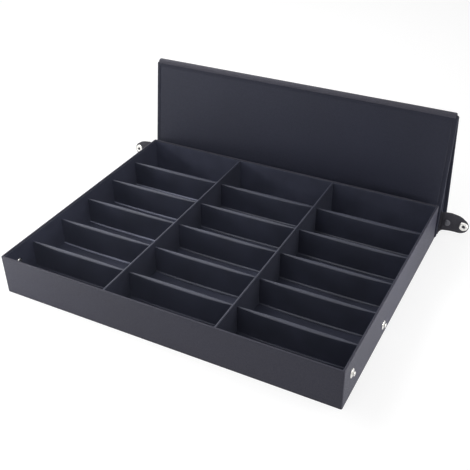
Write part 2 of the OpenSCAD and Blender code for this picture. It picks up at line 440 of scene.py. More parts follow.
def toned(sh: Shader, share: Socket, colour: Point3, tones: Point2) -> Socket:
    """Varies the tone of one colour.

    Args:
        sh: The material's Shader.
        share: From 0 for the first tone to 1 for the second.
        colour: The colour.
        tones: The two tones, as shares of the colour.

    Returns:
        The varied colour.
    """
    ramp = sh.add("ShaderNodeValToRGB")
    for element, tone, position in zip(ramp.color_ramp.elements, tones, RAMP_ENDS):
        element.color = (*(channel * tone for channel in colour), 1.0)
        element.position = position
    sh.link(share, ramp.inputs["Fac"])
    return ramp.outputs["Color"]


@dataclass(frozen=True)
class LeatheretteFinish:
    """Pebbled leatherette over board.

    Attributes:
        name: The material's name.
        colour: Its base colour, linear.
        cells: Grain cells in a metre.
        grain_depth: Depth of the grain, in metres.
        roughness: Roughness of the cell tops.
        gloss: Specular level.
        patches: Patches of tone in a metre.
        tones: The patches' range, as shares of the colour.
        crease_shade: How far a crease is darkened with painted shade.
        crease_tint: The colour that a crease is multiplied by, as painted shade.
        crease_roughness: How much rougher a crease is than a cell top.
        wave: Height of the board's faint waves, as a share of the grain's.
    """

    name: str
    colour: Point3
    cells: float = 1050.0
    grain_depth: float = 0.09 * MM
    roughness: float = 0.52
    gloss: float = 0.45
    patches: float = 7.0
    tones: Point2 = (0.9, 1.1)
    crease_shade: float = 0.55
    crease_tint: Point3 = (0.45, 0.45, 0.47)
    crease_roughness: float = 0.22
    wave: float = 3.0

    def build(self, groups: Groups) -> bpy.types.Material:
        """Makes the material.

        Args:
            groups: The shared shader groups.

        Returns:
            The material.
        """
        material, sh, bsdf, place = start_material(self.name)
        grain = place_group(sh, groups.pebble, place, self.cells)
        drift = place_group(sh, groups.drift, place, self.patches)
        crease = grain.outputs["Crease"]
        tone = toned(sh, drift.outputs["Tone"], self.colour, self.tones)
        # Painted shade: the creases between the grain cells are darkened.
        shade = sh.math("MULTIPLY", crease, self.crease_shade)
        colour = sh.multiplied(tone, (*self.crease_tint, 1.0), shade)
        sh.link(colour, bsdf.inputs["Base Color"])
        rough = sh.math("MULTIPLY_ADD", crease, self.crease_roughness, self.roughness)
        sh.link(rough, bsdf.inputs["Roughness"])
        bsdf.inputs["Specular IOR Level"].default_value = self.gloss
        height = sh.math(
            "MULTIPLY_ADD", drift.outputs["Wave"], self.wave, grain.outputs["Height"]
        )
        sh.bump(height, self.grain_depth, bsdf)
        return material


@dataclass(frozen=True)
class SuedeFinish:
    """Short-napped suede cloth.

    Attributes:
        name: The material's name.
        colour: Its base colour, linear.
        sheen: Weight of the sheen.
        sheen_tint: Colour of the sheen.
        sheen_roughness: Roughness of the sheen.
        fibres: Fibres in a metre.
        patch_tones: Range of the patches, as shares of the colour.
        fibre_tones: Range of the fibres, as shares of the colour.
        roughness: Roughness where the nap lies flat.
        patch_roughness: How much rougher it is where the nap stands.
        gloss: Specular level.
        nap_depth: Depth of the nap, in metres.
    """

    name: str
    colour: Point3
    sheen: float = 0.45
    sheen_tint: Point3 = (0.5, 0.53, 0.66)
    sheen_roughness: float = 0.45
    fibres: float = 3200.0
    patch_tones: Point2 = (0.8, 1.2)
    fibre_tones: Point2 = (0.7, 1.3)
    roughness: float = 0.42
    patch_roughness: float = 0.1
    gloss: float = 0.35
    nap_depth: float = 0.15 * MM

    def build(self, groups: Groups) -> bpy.types.Material:
        """Makes the material.

        Args:
            groups: The shared shader groups.

        Returns:
            The material.
        """
        material, sh, bsdf, place = start_material(self.name)
        nap = place_group(sh, groups.nap, place, self.fibres)
        patch, fibre = nap.outputs["Patch"], nap.outputs["Fibre"]
        tone = toned(sh, patch, self.colour, self.patch_tones)
        fleck = toned(sh, fibre, WHITE, self.fibre_tones)
        sh.link(sh.multiplied(tone, fleck, 1.0), bsdf.inputs["Base Color"])
        rough = sh.math("MULTIPLY_ADD", patch, self.patch_roughness, self.roughness)
        sh.link(rough, bsdf.inputs["Roughness"])
        bsdf.inputs["Specular IOR Level"].default_value = self.gloss
        bsdf.inputs["Sheen Weight"].default_value = self.sheen
        bsdf.inputs["Sheen Roughness"].default_value = self.sheen_roughness
        bsdf.inputs["Sheen Tint"].default_value = (*self.sheen_tint, 1.0)
        sh.bump(fibre, self.nap_depth, bsdf)
        return material


@dataclass(frozen=True)
class PlatedFinish:
    """Plated metal of the fittings.

    Attributes:
        name: The material's name.
        colour: Its base colour, linear.
        metallic: 1 for bare plate, less for a lacquered one.
        roughness: Roughness between the marks.
        marks: Turning marks in a metre.
        rub_tones: Range of the rubbed spots, as shares of the colour.
        mark_roughness: How much rougher a mark is.
        mark_depth: Depth of a mark, in metres.
    """

    name: str
    colour: Point3
    metallic: float = 1.0
    roughness: float = 0.16
    marks: float = 1500.0
    rub_tones: Point2 = (0.85, 1.08)
    mark_roughness: float = 0.18
    mark_depth: float = 0.01 * MM

    def build(self, groups: Groups) -> bpy.types.Material:
        """Makes the material.

        Args:
            groups: The shared shader groups.

        Returns:
            The material.
        """
        material, sh, bsdf, place = start_material(self.name)
        marks = place_group(sh, groups.marks, place, self.marks)
        tone = toned(sh, marks.outputs["Rub"], self.colour, self.rub_tones)
        sh.link(tone, bsdf.inputs["Base Color"])
        bsdf.inputs["Metallic"].default_value = self.metallic
        mark = marks.outputs["Mark"]
        rough = sh.math("MULTIPLY_ADD", mark, self.mark_roughness, self.roughness)
        sh.link(rough, bsdf.inputs["Roughness"])
        sh.bump(mark, self.mark_depth, bsdf)
        return material


@dataclass(frozen=True)
class Finishes:
    """Every material of the object.

    Attributes:
        cover: Leatherette of the tray and the hinge flap.
        lid: Leatherette of the lid's panels, bluer and duller, and painted darker as shade.
        fold: Leatherette of the fold strip, painted paler as a highlight.
        strap: Finer leatherette of the straps.
        suede: Lining of the floor, the partitions, the dividers and the lid.
        wall_suede: Lining of the tray's walls, the same suede painted lighter as light falling on
            the walls.
        piping: Hem of the left column's dividers, painted pale as a bright highlight.
        worn_piping: The same hem with a dimmer painted highlight, in the other columns.
        nickel: Bright plate of the studs, caps and sockets.
        gunmetal: Dark plate of the straps' rivets.
    """

    cover: bpy.types.Material
    lid: bpy.types.Material
    fold: bpy.types.Material
    strap: bpy.types.Material
    suede: bpy.types.Material
    wall_suede: bpy.types.Material
    piping: bpy.types.Material
    worn_piping: bpy.types.Material
    nickel: bpy.types.Material
    gunmetal: bpy.types.Material

    @classmethod
    def build(cls) -> "Finishes":
        """Builds the shader groups and the materials."""
        groups = Groups.build()
        return cls(
            cover=LeatheretteFinish("leatherette_cover", (0.024, 0.024, 0.042)).build(groups),
            # The lid's panels take the cover's leatherette, painted darker as shade.
            lid=LeatheretteFinish("leatherette_lid", (0.016, 0.018, 0.034), gloss=0.3).build(groups),
            # The fold strip's leatherette is painted paler, as a highlight.
            fold=LeatheretteFinish("leatherette_fold", (0.047, 0.046, 0.066)).build(groups),
            strap=LeatheretteFinish(
                "leatherette_strap", (0.023, 0.0215, 0.031), cells=1400.0, roughness=0.46
            ).build(groups),
            suede=SuedeFinish("suede_lining", (0.03, 0.033, 0.053)).build(groups),
            # The walls' suede is painted lighter, as light falling on the walls.
            wall_suede=SuedeFinish("suede_wall", (0.047, 0.051, 0.08)).build(groups),
            # Pale hems: painted highlight, bright in the left column and dimmer in the others.
            piping=SuedeFinish("suede_piping", (0.21, 0.22, 0.29)).build(groups),
            worn_piping=SuedeFinish("suede_worn_piping", (0.085, 0.09, 0.118)).build(groups),
            nickel=PlatedFinish("bright_nickel", (0.8, 0.79, 0.76)).build(groups),
            gunmetal=PlatedFinish(
                "dark_gunmetal", (0.13, 0.13, 0.145), metallic=0.85, roughness=0.26
            ).build(groups),
        )


# Mesh tools


def smooth(mesh: bpy.types.Mesh) -> None:
    """Shades a mesh smooth, except across its sharp edges."""
    mesh.shade_smooth()
    mesh.set_sharp_from_angle(angle=SHARP_ANGLE)


def finish_mesh(name: str, bm: bmesh.types.BMesh, material: bpy.types.Material) -> bpy.types.Object:
    """Turns a bmesh into an object with clean normals.

    Args:
        name: The piece's name.
        bm: The mesh, in the shared frame. It is freed.
        material: The piece's material.

    Returns:
        The object, linked to the scene.
    """
    bmesh.ops.remove_doubles(bm, verts=bm.verts, dist=MERGE_DISTANCE)
    bmesh.ops.dissolve_degenerate(bm, edges=bm.edges, dist=DEGENERATE_LENGTH)
    bmesh.ops.recalc_face_normals(bm, faces=bm.faces)
    mesh = bpy.data.meshes.new(name)
    bm.to_mesh(mesh)
    bm.free()
    mesh.materials.append(material)
    smooth(mesh)
    piece = bpy.data.objects.new(name, mesh)
    bpy.context.scene.collection.objects.link(piece)
    return piece


def skinned(
    name: str, rings: Sequence[Sequence[Point3]], material: bpy.types.Material,
    closed_length: bool = False,
) -> bpy.types.Object:
    """Makes a piece by skinning a row of closed rings.

    Args:
        name: The piece's name.
        rings: Rings with the same number of points each.
        material: The piece's material.
        closed_length: True if the last ring joins the first, and False if the ends are capped.

    Returns:
        The object, linked to the scene.
    """
    bm = bmesh.new()
    rows = [[bm.verts.new(point) for point in ring] for ring in rings]
    count = len(rows[0])
    last = len(rows) if closed_length else len(rows) - 1
    for index in range(last):
        one, two = rows[index], rows[(index + 1) % len(rows)]
        for i in range(count):
            j = (i + 1) % count
            bm.faces.new((one[i], one[j], two[j], two[i]))
    if not closed_length:
        bm.faces.new(list(reversed(rows[0])))
        bm.faces.new(rows[-1])
    return finish_mesh(name, bm, material)


def spread(start: float, end: float, spans: int) -> list[float]:
    """Evenly spaced values, both ends included."""
    return [start + (end - start) * i / spans for i in range(spans + 1)]


def quarter(steps: int) -> list[float]:
    """Angles of a quarter turn in radians, both ends included."""
    return spread(0.0, math.pi / 2, steps)


def half_turn(steps: int) -> list[float]:
    """Angles of a half turn in radians, both ends included."""
    return spread(0.0, math.pi, steps)


def arc(centre: Point2, radius: float, start: float, end: float, steps: int) -> list[Point2]:
    """Points along an arc.

    Args:
        centre: The arc's centre.
        radius: Its radius.
        start: First angle, in degrees.
        end: Last angle, in degrees.
        steps: Number of spans.

    Returns:
        The points, both ends included.
    """
    angles = [math.radians(angle) for angle in spread(start, end, steps)]
    return [
        (centre[0] + radius * math.cos(a), centre[1] + radius * math.sin(a)) for a in angles
    ]


def rounded_outline(
    width: float, depth: float, radius: float, steps: int = CORNER_STEPS
) -> list[Point2]:
    """A rectangle round the origin with round corners, anticlockwise.

    Args:
        width: Size along the first axis.
        depth: Size along the second axis.
        radius: Radius of the corners.
        steps: Spans in each corner.

    Returns:
        The outline's points.
    """
    x, y = width / 2 - radius, depth / 2 - radius
    corners = [((x, y), 0), ((-x, y), 90), ((-x, -y), 180), ((x, -y), 270)]
    return [p for centre, a in corners for p in arc(centre, radius, a, a + 90, steps)]


def inset(outline: Sequence[Point2], amount: float) -> list[Point2]:
    """Moves an anticlockwise outline inwards along its corner normals.

    Args:
        outline: The outline's points.
        amount: How far each side moves.

    Returns:
        The moved points.
    """
    shortest_side, flattest_corner = 1e-9, 0.4
    moved = []
    count = len(outline)
    for i, (x, y) in enumerate(outline):
        before = Vector(outline[i]) - Vector(outline[i - 1])
        after = Vector(outline[(i + 1) % count]) - Vector(outline[i])
        sides = [side for side in (before, after) if side.length > shortest_side]
        normals = [Vector((-side.y, side.x)).normalized() for side in sides]
        mean = sum(normals, Vector((0.0, 0.0))).normalized()
        stretch = 1 / max(flattest_corner, mean.dot(normals[0]))
        moved.append((x + mean.x * amount * stretch, y + mean.y * amount * stretch))
    return moved


def inner_outline(width: float, depth: float, radius: float, amount: float) -> list[Point2]:
    """A round-cornered rectangle drawn inside another, with as many points.

    Args:
        width: The outer rectangle's size along the first axis.
        depth: Its size along the second axis.
        radius: Radius of its corners.
        amount: How far inside it the new one lies.

    Returns:
        The outline's points.
    """
    smallest = 0.3 * radius
    corner = max(smallest, radius - amount)
    return rounded_outline(width - 2 * amount, depth - 2 * amount, corner)


def slab_rings(
    outline: Sequence[Point2], thickness: float, edge: float, steps: int = 3
) -> list[list[Point3]]:
    """Rings of a flat plate with rounded edges, from its underside up.

    Args:
        outline: The plate's outline in X and Y.
        thickness: The plate's thickness, from z = 0 up.
        edge: Radius of both edges.
        steps: Spans in each edge.

    Returns:
        The rings, bottom first.
    """
    low = [(edge * (1 - math.sin(a)), edge * (1 - math.cos(a))) for a in quarter(steps)]
    high = [(depth, thickness - z) for depth, z in reversed(low)]
    return [[(x, y, z) for x, y in inset(outline, depth)] for depth, z in low + high]


def placed(rings: Sequence[Sequence[Point3]], matrix: Matrix) -> list[list[Point3]]:
    """Moves rings into the shared frame by a matrix."""
    return [[tuple(matrix @ Vector(point)) for point in ring] for ring in rings]


def thicken(path: Sequence[Point2], widths: Sequence[float]) -> list[Point2]:
    """Gives an open line a thickness, as a closed outline.

    Args:
        path: The middle line.
        widths: The thickness at each point.

    Returns:
        The outline: one side forwards, and the other back.
    """
    sides: tuple[list[Point2], list[Point2]] = ([], [])
    for i, point in enumerate(path):
        before = Vector(path[max(i - 1, 0)])
        after = Vector(path[min(i + 1, len(path) - 1)])
        along = (after - before).normalized()
        across = Vector((-along.y, along.x)) * widths[i] / 2
        sides[0].append((point[0] + across.x, point[1] + across.y))
        sides[1].append((point[0] - across.x, point[1] - across.y))
    return sides[0] + list(reversed(sides[1]))


def subdivided(outline: Sequence[Point2], step: float) -> list[Point2]:
    """Adds points along an outline's long sides, so that it can bend.

    Args:
        outline: The closed outline.
        step: The longest side that stays whole.

    Returns:
        The outline with more points.
    """
    points = []
    for one, two in zip(outline, list(outline[1:]) + [outline[0]]):
        length = (Vector(two) - Vector(one)).length
        if length < DEGENERATE_LENGTH:
            continue
        parts = max(1, math.ceil(length / step))
        points += [
            (one[0] + (two[0] - one[0]) * k / parts, one[1] + (two[1] - one[1]) * k / parts)
            for k in range(parts)
        ]
    return points


def eased(share: float) -> float:
    """A share from 0 to 1 with a smooth start and end."""
    return share * share * (3 - 2 * share)


# Places from the frame, and what every piece is told


def joint_place(name: str) -> Vector:
    """The point that a joint turns about, in the shared frame."""
    return Vector(next(j["pos_m"] for j in frame["joints"] if j["name"] == name))


def joint_axis(name: str) -> Vector:
    """The axis that a joint turns about, in the shared frame."""
    return Vector(next(j["axis"] for j in frame["joints"] if j["name"] == name))


def dress(node: str, material: bpy.types.Material) -> None:
    """Gives a carried-over solid its material.

    Args:
        node: The solid's name.
        material: Its material.
    """
    piece = frame["nodes"][node]
    piece.data.materials.clear()
    piece.data.materials.append(material)


def declare(piece: bpy.types.Object) -> None:
    """Reports the piece.

    Args:
        piece: The piece.
    """
    log.info("%s: %d faces", piece.name, len(piece.data.polygons))


def attach(piece: bpy.types.Object, body: Body) -> None:
    """Args:
        piece: The piece.
        body: The body that carries it.
    """
    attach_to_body(piece, body.value)
    declare(piece)


@dataclass(frozen=True)
class TraySizes:
    """The tray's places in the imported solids.

    Attributes:
        low: Lowest corner of the sheet under the base.
        high: Its highest corner.
        rim_z: Height of the rim.
        wall_t: Thickness of a wall's board.
        lining_top: Height of the wall lining's top edge.
        pad_low: Lowest corner of the padded floor.
        pad_high: Its highest corner.
    """

    low: Vector
    high: Vector
    rim_z: float
    wall_t: float
    lining_top: float
    pad_low: Vector
    pad_high: Vector

    @classmethod
    def read(cls) -> "TraySizes":
        """Reads the places from the frame."""
        low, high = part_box("base_cover")
        wall_low, wall_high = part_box("front_wall")
        pad_low, pad_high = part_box("floor_pad")
        return cls(
            low=low,
            high=high,
            rim_z=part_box("rear_wall")[1].z,
            wall_t=wall_high.y - wall_low.y,
            lining_top=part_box("wall_lining")[1].z,
            pad_low=pad_low,
            pad_high=pad_high,
        )

    @property
    def width(self) -> float:
        """Outer width."""
        return self.high.x - self.low.x

    @property
    def depth(self) -> float:
        """Outer depth."""
        return self.high.y - self.low.y


class PanelFrame:
    """A lid panel's own axes: X, s up along the panel, and n through it from its outer face."""

    def __init__(self, node: str, lining: str, lean: float, facing: int) -> None:
        """Reads a panel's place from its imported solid.

        Args:
            node: The board's node.
            lining: Its lining's node.
            lean: The panel's lean from upright, in radians.
            facing: 1 if its outer face looks to the front, and -1 if to the rear.
        """
        self.up = Vector((0, facing * math.sin(lean), math.cos(lean)))
        self.inward = Vector((0, facing * math.cos(lean), -math.sin(lean)))
        points = [v.co for v in frame["nodes"][node].data.vertices]
        along = [p.dot(self.up) for p in points]
        through = [p.dot(self.inward) for p in points]
        self.length = max(along) - min(along)
        self.board_t = max(through) - min(through)
        self.half_w = max(p.x for p in points)
        inner = [v.co for v in frame["nodes"][lining].data.vertices]
        self.lining_t = max(p.dot(self.inward) for p in inner) - max(through)
        self.margin = self.half_w - max(p.x for p in inner)
        self.origin = self.up * min(along) + self.inward * min(through)

    def matrix(self, n: float = 0.0, s: float = 0.0) -> Matrix:
        """Takes a plate drawn in X and Y, with its thickness up Z, to the panel.

        Args:
            n: Depth of the plate's underside below the panel's outer face.
            s: Height along the panel of the plate's own origin.

        Returns:
            A matrix with the plate's X, Y and Z on the panel's X, s and n.
        """
        origin = self.origin + self.inward * n + self.up * s
        rows = [(1.0, 0.0, 0.0), tuple(self.up), tuple(self.inward)]
        return Matrix.Translation(origin) @ Matrix(rows).transposed().to_4x4()


# Sub-assemblies


@dataclass(frozen=True)
class PadGrid:
    """Repeats one pad over the tray's floor with Geometry Nodes.

    Attributes:
        columns: Pads along X.
        rows: Pads along Y.
        pitch_x: Distance between pads along X.
        pitch_y: Distance between pads along Y, behind the front row.
        front_depth: Depth of the front row's pads.
        floor_z: Height of the pads' undersides.
    """

    columns: int
    rows: int
    pitch_x: float
    pitch_y: float
    front_depth: float
    floor_z: float

    def tree(self, material: bpy.types.Material) -> bpy.types.NodeTree:
        """Builds the node tree: a grid of points, a pad on each, made real.

        Args:
            material: The pads' material.

        Returns:
            The tree.
        """
        tree = bpy.data.node_groups.new("pad_grid", "GeometryNodeTree")
        face = tree.interface
        face.new_socket("Pad", in_out="INPUT", socket_type="NodeSocketGeometry")
        for name in ("Columns", "Rows"):
            face.new_socket(name, in_out="INPUT", socket_type="NodeSocketInt")
        for name in ("Pitch X", "Pitch Y", "Front Depth", "Floor Z"):
            face.new_socket(name, in_out="INPUT", socket_type="NodeSocketFloat")
        face.new_socket("Pads", in_out="OUTPUT", socket_type="NodeSocketGeometry")
        sh = Shader(tree)
        start = sh.add("NodeGroupInput")
        grid = sh.add("GeometryNodeMeshGrid")
        for count, pitch, size, verts in (
            ("Columns", "Pitch X", "Size X", "Vertices X"),
            ("Rows", "Pitch Y", "Size Y", "Vertices Y"),
        ):
            spans = sh.math("SUBTRACT", start.outputs[count], 1.0)
            sh.link(sh.math("MULTIPLY", spans, start.outputs[pitch]), grid.inputs[size])
            sh.link(start.outputs[count], grid.inputs[verts])
        # The front row is shallower: its pads shrink, and the other rows close up to it.
        place = sh.add("ShaderNodeSeparateXYZ")
        sh.link(sh.add("GeometryNodeInputPosition").outputs["Position"], place.inputs["Vector"])
        pitch, front = start.outputs["Pitch Y"], start.outputs["Front Depth"]
        middle = sh.math("SUBTRACT", sh.math("MULTIPLY", start.outputs["Rows"], 0.5), 1.0)
        first_edge = sh.math("MULTIPLY", sh.math("MULTIPLY", middle, pitch), -1.0)
        is_first = sh.math("LESS_THAN", place.outputs["Y"], first_edge)
        spare = sh.math("MULTIPLY", sh.math("SUBTRACT", pitch, front), 0.5)
        offset = sh.add("ShaderNodeCombineXYZ")
        shift = sh.math("MULTIPLY", sh.math("SUBTRACT", is_first, 1.0), spare)
        sh.link(shift, offset.inputs["Y"])
        sh.link(start.outputs["Floor Z"], offset.inputs["Z"])
        move = sh.add("GeometryNodeSetPosition")
        sh.link(grid.outputs["Mesh"], move.inputs["Geometry"])
        sh.link(offset.outputs["Vector"], move.inputs["Offset"])
        shorter = sh.math("SUBTRACT", sh.math("DIVIDE", front, pitch), 1.0)
        scale = sh.add("ShaderNodeCombineXYZ")
        scale.inputs["X"].default_value = scale.inputs["Z"].default_value = 1.0
        depth = sh.math("ADD", sh.math("MULTIPLY", is_first, shorter), 1.0)
        sh.link(depth, scale.inputs["Y"])
        repeat = sh.add("GeometryNodeInstanceOnPoints")
        sh.link(move.outputs["Geometry"], repeat.inputs["Points"])
        sh.link(start.outputs["Pad"], repeat.inputs["Instance"])
        sh.link(scale.outputs["Vector"], repeat.inputs["Scale"])
        real = sh.add("GeometryNodeRealizeInstances")
        sh.link(repeat.outputs["Instances"], real.inputs["Geometry"])
        paint = sh.add("GeometryNodeSetMaterial")
        paint.inputs["Material"].default_value = material
        sh.link(real.outputs["Geometry"], paint.inputs["Geometry"])
        sh.link(paint.outputs["Geometry"], sh.add("NodeGroupOutput").inputs["Pads"])
        return tree

    def apply(self, piece: bpy.types.Object) -> None:
        """Runs the tree on a pad and keeps the result as the piece's plain mesh.

        Args:
            piece: An object that holds one pad.
        """
        tree = self.tree(piece.data.materials[0])
        values = {
            "Columns": self.columns,
            "Rows": self.rows,
            "Pitch X": self.pitch_x,
            "Pitch Y": self.pitch_y,
            "Front Depth": self.front_depth,
            "Floor Z": self.floor_z,
        }
        bake_nodes(piece, tree, values)


def bake_nodes(
    piece: bpy.types.Object, tree: bpy.types.NodeTree, values: dict[str, float]
) -> None:
    """Applies a Geometry Nodes tree to a piece as a plain mesh.

    Args:
        piece: The piece that the tree works on.
        tree: The tree.
        values: Values of its inputs, by name.
    """
    modifier = piece.modifiers.new(tree.name, "NODES")
    modifier.node_group = tree
    inputs = [item for item in tree.interface.items_tree if item.in_out == "INPUT"]
    sockets = {item.name: item.identifier for item in inputs}
    for name, value in values.items():
        modifier[sockets[name]] = value
    graph = bpy.context.evaluated_depsgraph_get()
    mesh = bpy.data.meshes.new_from_object(piece.evaluated_get(graph))
    piece.modifiers.remove(modifier)
    piece.data = mesh
    smooth(mesh)


@dataclass
class Divider:
    """A padded divider: fuller at its middle and foot, with a hem roll along its front foot.

    Attributes:
        finishes: The materials.
        column: Its column, from 1.
        row: Its row, from 1.
        columns: Number of columns.
        end_t: Thickness of the top at its ends.
        swell: How much thicker the top is at its middle.
        crown_share: Height of the top's rounding, as a share of its half thickness.
        crown_steps: Spans in the rounding.
        side_steps: Spans up each side.
        bulge: How far the padding fills out each side.
        side_curve: Power of the curve from the foot to the top.
        wander: How far the top stands out of line.
        wander_rate: How fast it wanders along the divider.
        column_step: Lines of the noise between two columns.
        line_gap: Distance between two lines of the noise.
        hem_r: Radius of the hem roll.
        hem_ends: The roll's radius at its ends, as a share.
        hem_tuck: How far the roll lies in front of the foot, as a share of its radius.
        hem_rise: How far its middle lies above the solid's foot, as a share of its radius.
        hem_sides: Points round the roll.
        wall_reach: How far an outer divider reaches past its solid to the wall's lining.
        spans: Sections along the divider.
    """

    finishes: Finishes
    column: int
    row: int
    columns: int
    end_t: float = 1.6 * MM
    swell: float = 4.8 * MM
    crown_share: float = 0.55
    crown_steps: int = 12
    side_steps: int = 7
    bulge: float = 0.35 * MM
    side_curve: float = 0.8
    wander: float = 0.5 * MM
    wander_rate: float = 18.0
    column_step: int = 7
    line_gap: float = 3.1
    hem_r: float = 1.7 * MM
    hem_ends: float = 0.3
    hem_tuck: float = 0.6
    hem_rise: float = 0.35
    hem_sides: int = 10
    wall_reach: float = 1.4 * MM
    spans: int = 28

    @property
    def node(self) -> str:
        """The name of the divider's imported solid."""
        return f"divider_{self.column}_{self.row}"

    @staticmethod
    def fullness(share: float) -> float:
        """How full the divider is at a share of its length: 1 at its middle, 0 at its ends."""
        return max(0.0, 1 - abs(share) ** 3)

    def section(self, share: float, foot: float, height: float) -> list[Point2]:
        """The divider's outline across, at a share of its length.

        Args:
            share: From -1 to 1 along the divider.
            foot: Half the foot's thickness at the middle.
            height: The divider's height.

        Returns:
            Points in Y and Z, from the rear foot over the top to the front foot.
        """
        full = self.fullness(share)
        top = (self.end_t + self.swell * full) / 2
        rise = top * self.crown_share
        base = foot - (1 - full) * self.swell / 2
        rear = []
        for t in spread(0.0, 1.0, self.side_steps)[:-1]:
            y = base + (top - base) * t ** self.side_curve + self.bulge * math.sin(math.pi * t)
            rear.append((y, (height - rise) * t))
        crown = [
            (top * math.cos(a), height - rise + rise * math.sin(a))
            for a in half_turn(self.crown_steps)
        ]
        return rear + crown + [(-y, z) for y, z in reversed(rear)]

    def wandered(self, x: float, share: float) -> float:
        """How far the top stands out of line at a place along the divider.

        Args:
            x: The place in the shared frame.
            share: The same place from -1 to 1 along the divider.

        Returns:
            The distance along Y.
        """
        line = (self.column * self.column_step + self.row) * self.line_gap
        cloud = noise.noise(Vector((x * self.wander_rate, line, 0.0)))
        return self.wander * cloud * (1 - share * share)

    def build(self) -> None:
        """Makes the divider and its hem roll."""
        low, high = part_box(self.node)
        middle, foot, height = (low.y + high.y) / 2, (high.y - low.y) / 2, high.z - low.z
        start = low.x - (self.wall_reach if self.column == 1 else 0.0)
        end = high.x + (self.wall_reach if self.column == self.columns else 0.0)
        places = list(zip(spread(start, end, self.spans), spread(-1.0, 1.0, self.spans)))
        rings = []
        for x, share in places:
            lean = self.wandered(x, share) / height
            section = self.section(share, foot, height)
            rings.append([(x, middle + y + lean * z, low.z + z) for y, z in section])
        piece = skinned(f"{self.node}_pad", rings, self.finishes.suede)
        attach(piece, Body.TRAY)
        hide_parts(self.node)
        self.hem(places, middle - foot, low.z)

    def hem(self, places: Sequence[Point2], foot_y: float, foot_z: float) -> None:
        """Makes the hem roll on the floor along the divider's front foot.

        Args:
            places: Places along X, each with its share from -1 to 1.
            foot_y: The front of the foot at the divider's middle.
            foot_z: Height of the foot.
        """
        rings = []
        for x, share in places:
            full = self.fullness(share)
            r = self.hem_r * (self.hem_ends + (1 - self.hem_ends) * full)
            y = foot_y + (1 - full) * self.swell / 2 - r * self.hem_tuck
            z = foot_z + r * self.hem_rise
            turn = spread(0.0, math.tau, self.hem_sides)[:-1]
            rings.append([(x, y + r * math.cos(a), z + r * math.sin(a)) for a in turn])
        piece = skinned(f"{self.node}_hem", rings, self.hem_cloth)
        attach(piece, Body.TRAY)

    @property
    def hem_cloth(self) -> bpy.types.Material:
        """The hem's cloth: plain in the front row, and elsewhere paler with a painted highlight,
        brightest in the left column.
        """
        if self.row == 1:
            return self.finishes.suede
        # Painted highlight on the hem: bright in the left column, dimmer in the others.
        return self.finishes.piping if self.column == 1 else self.finishes.worn_piping


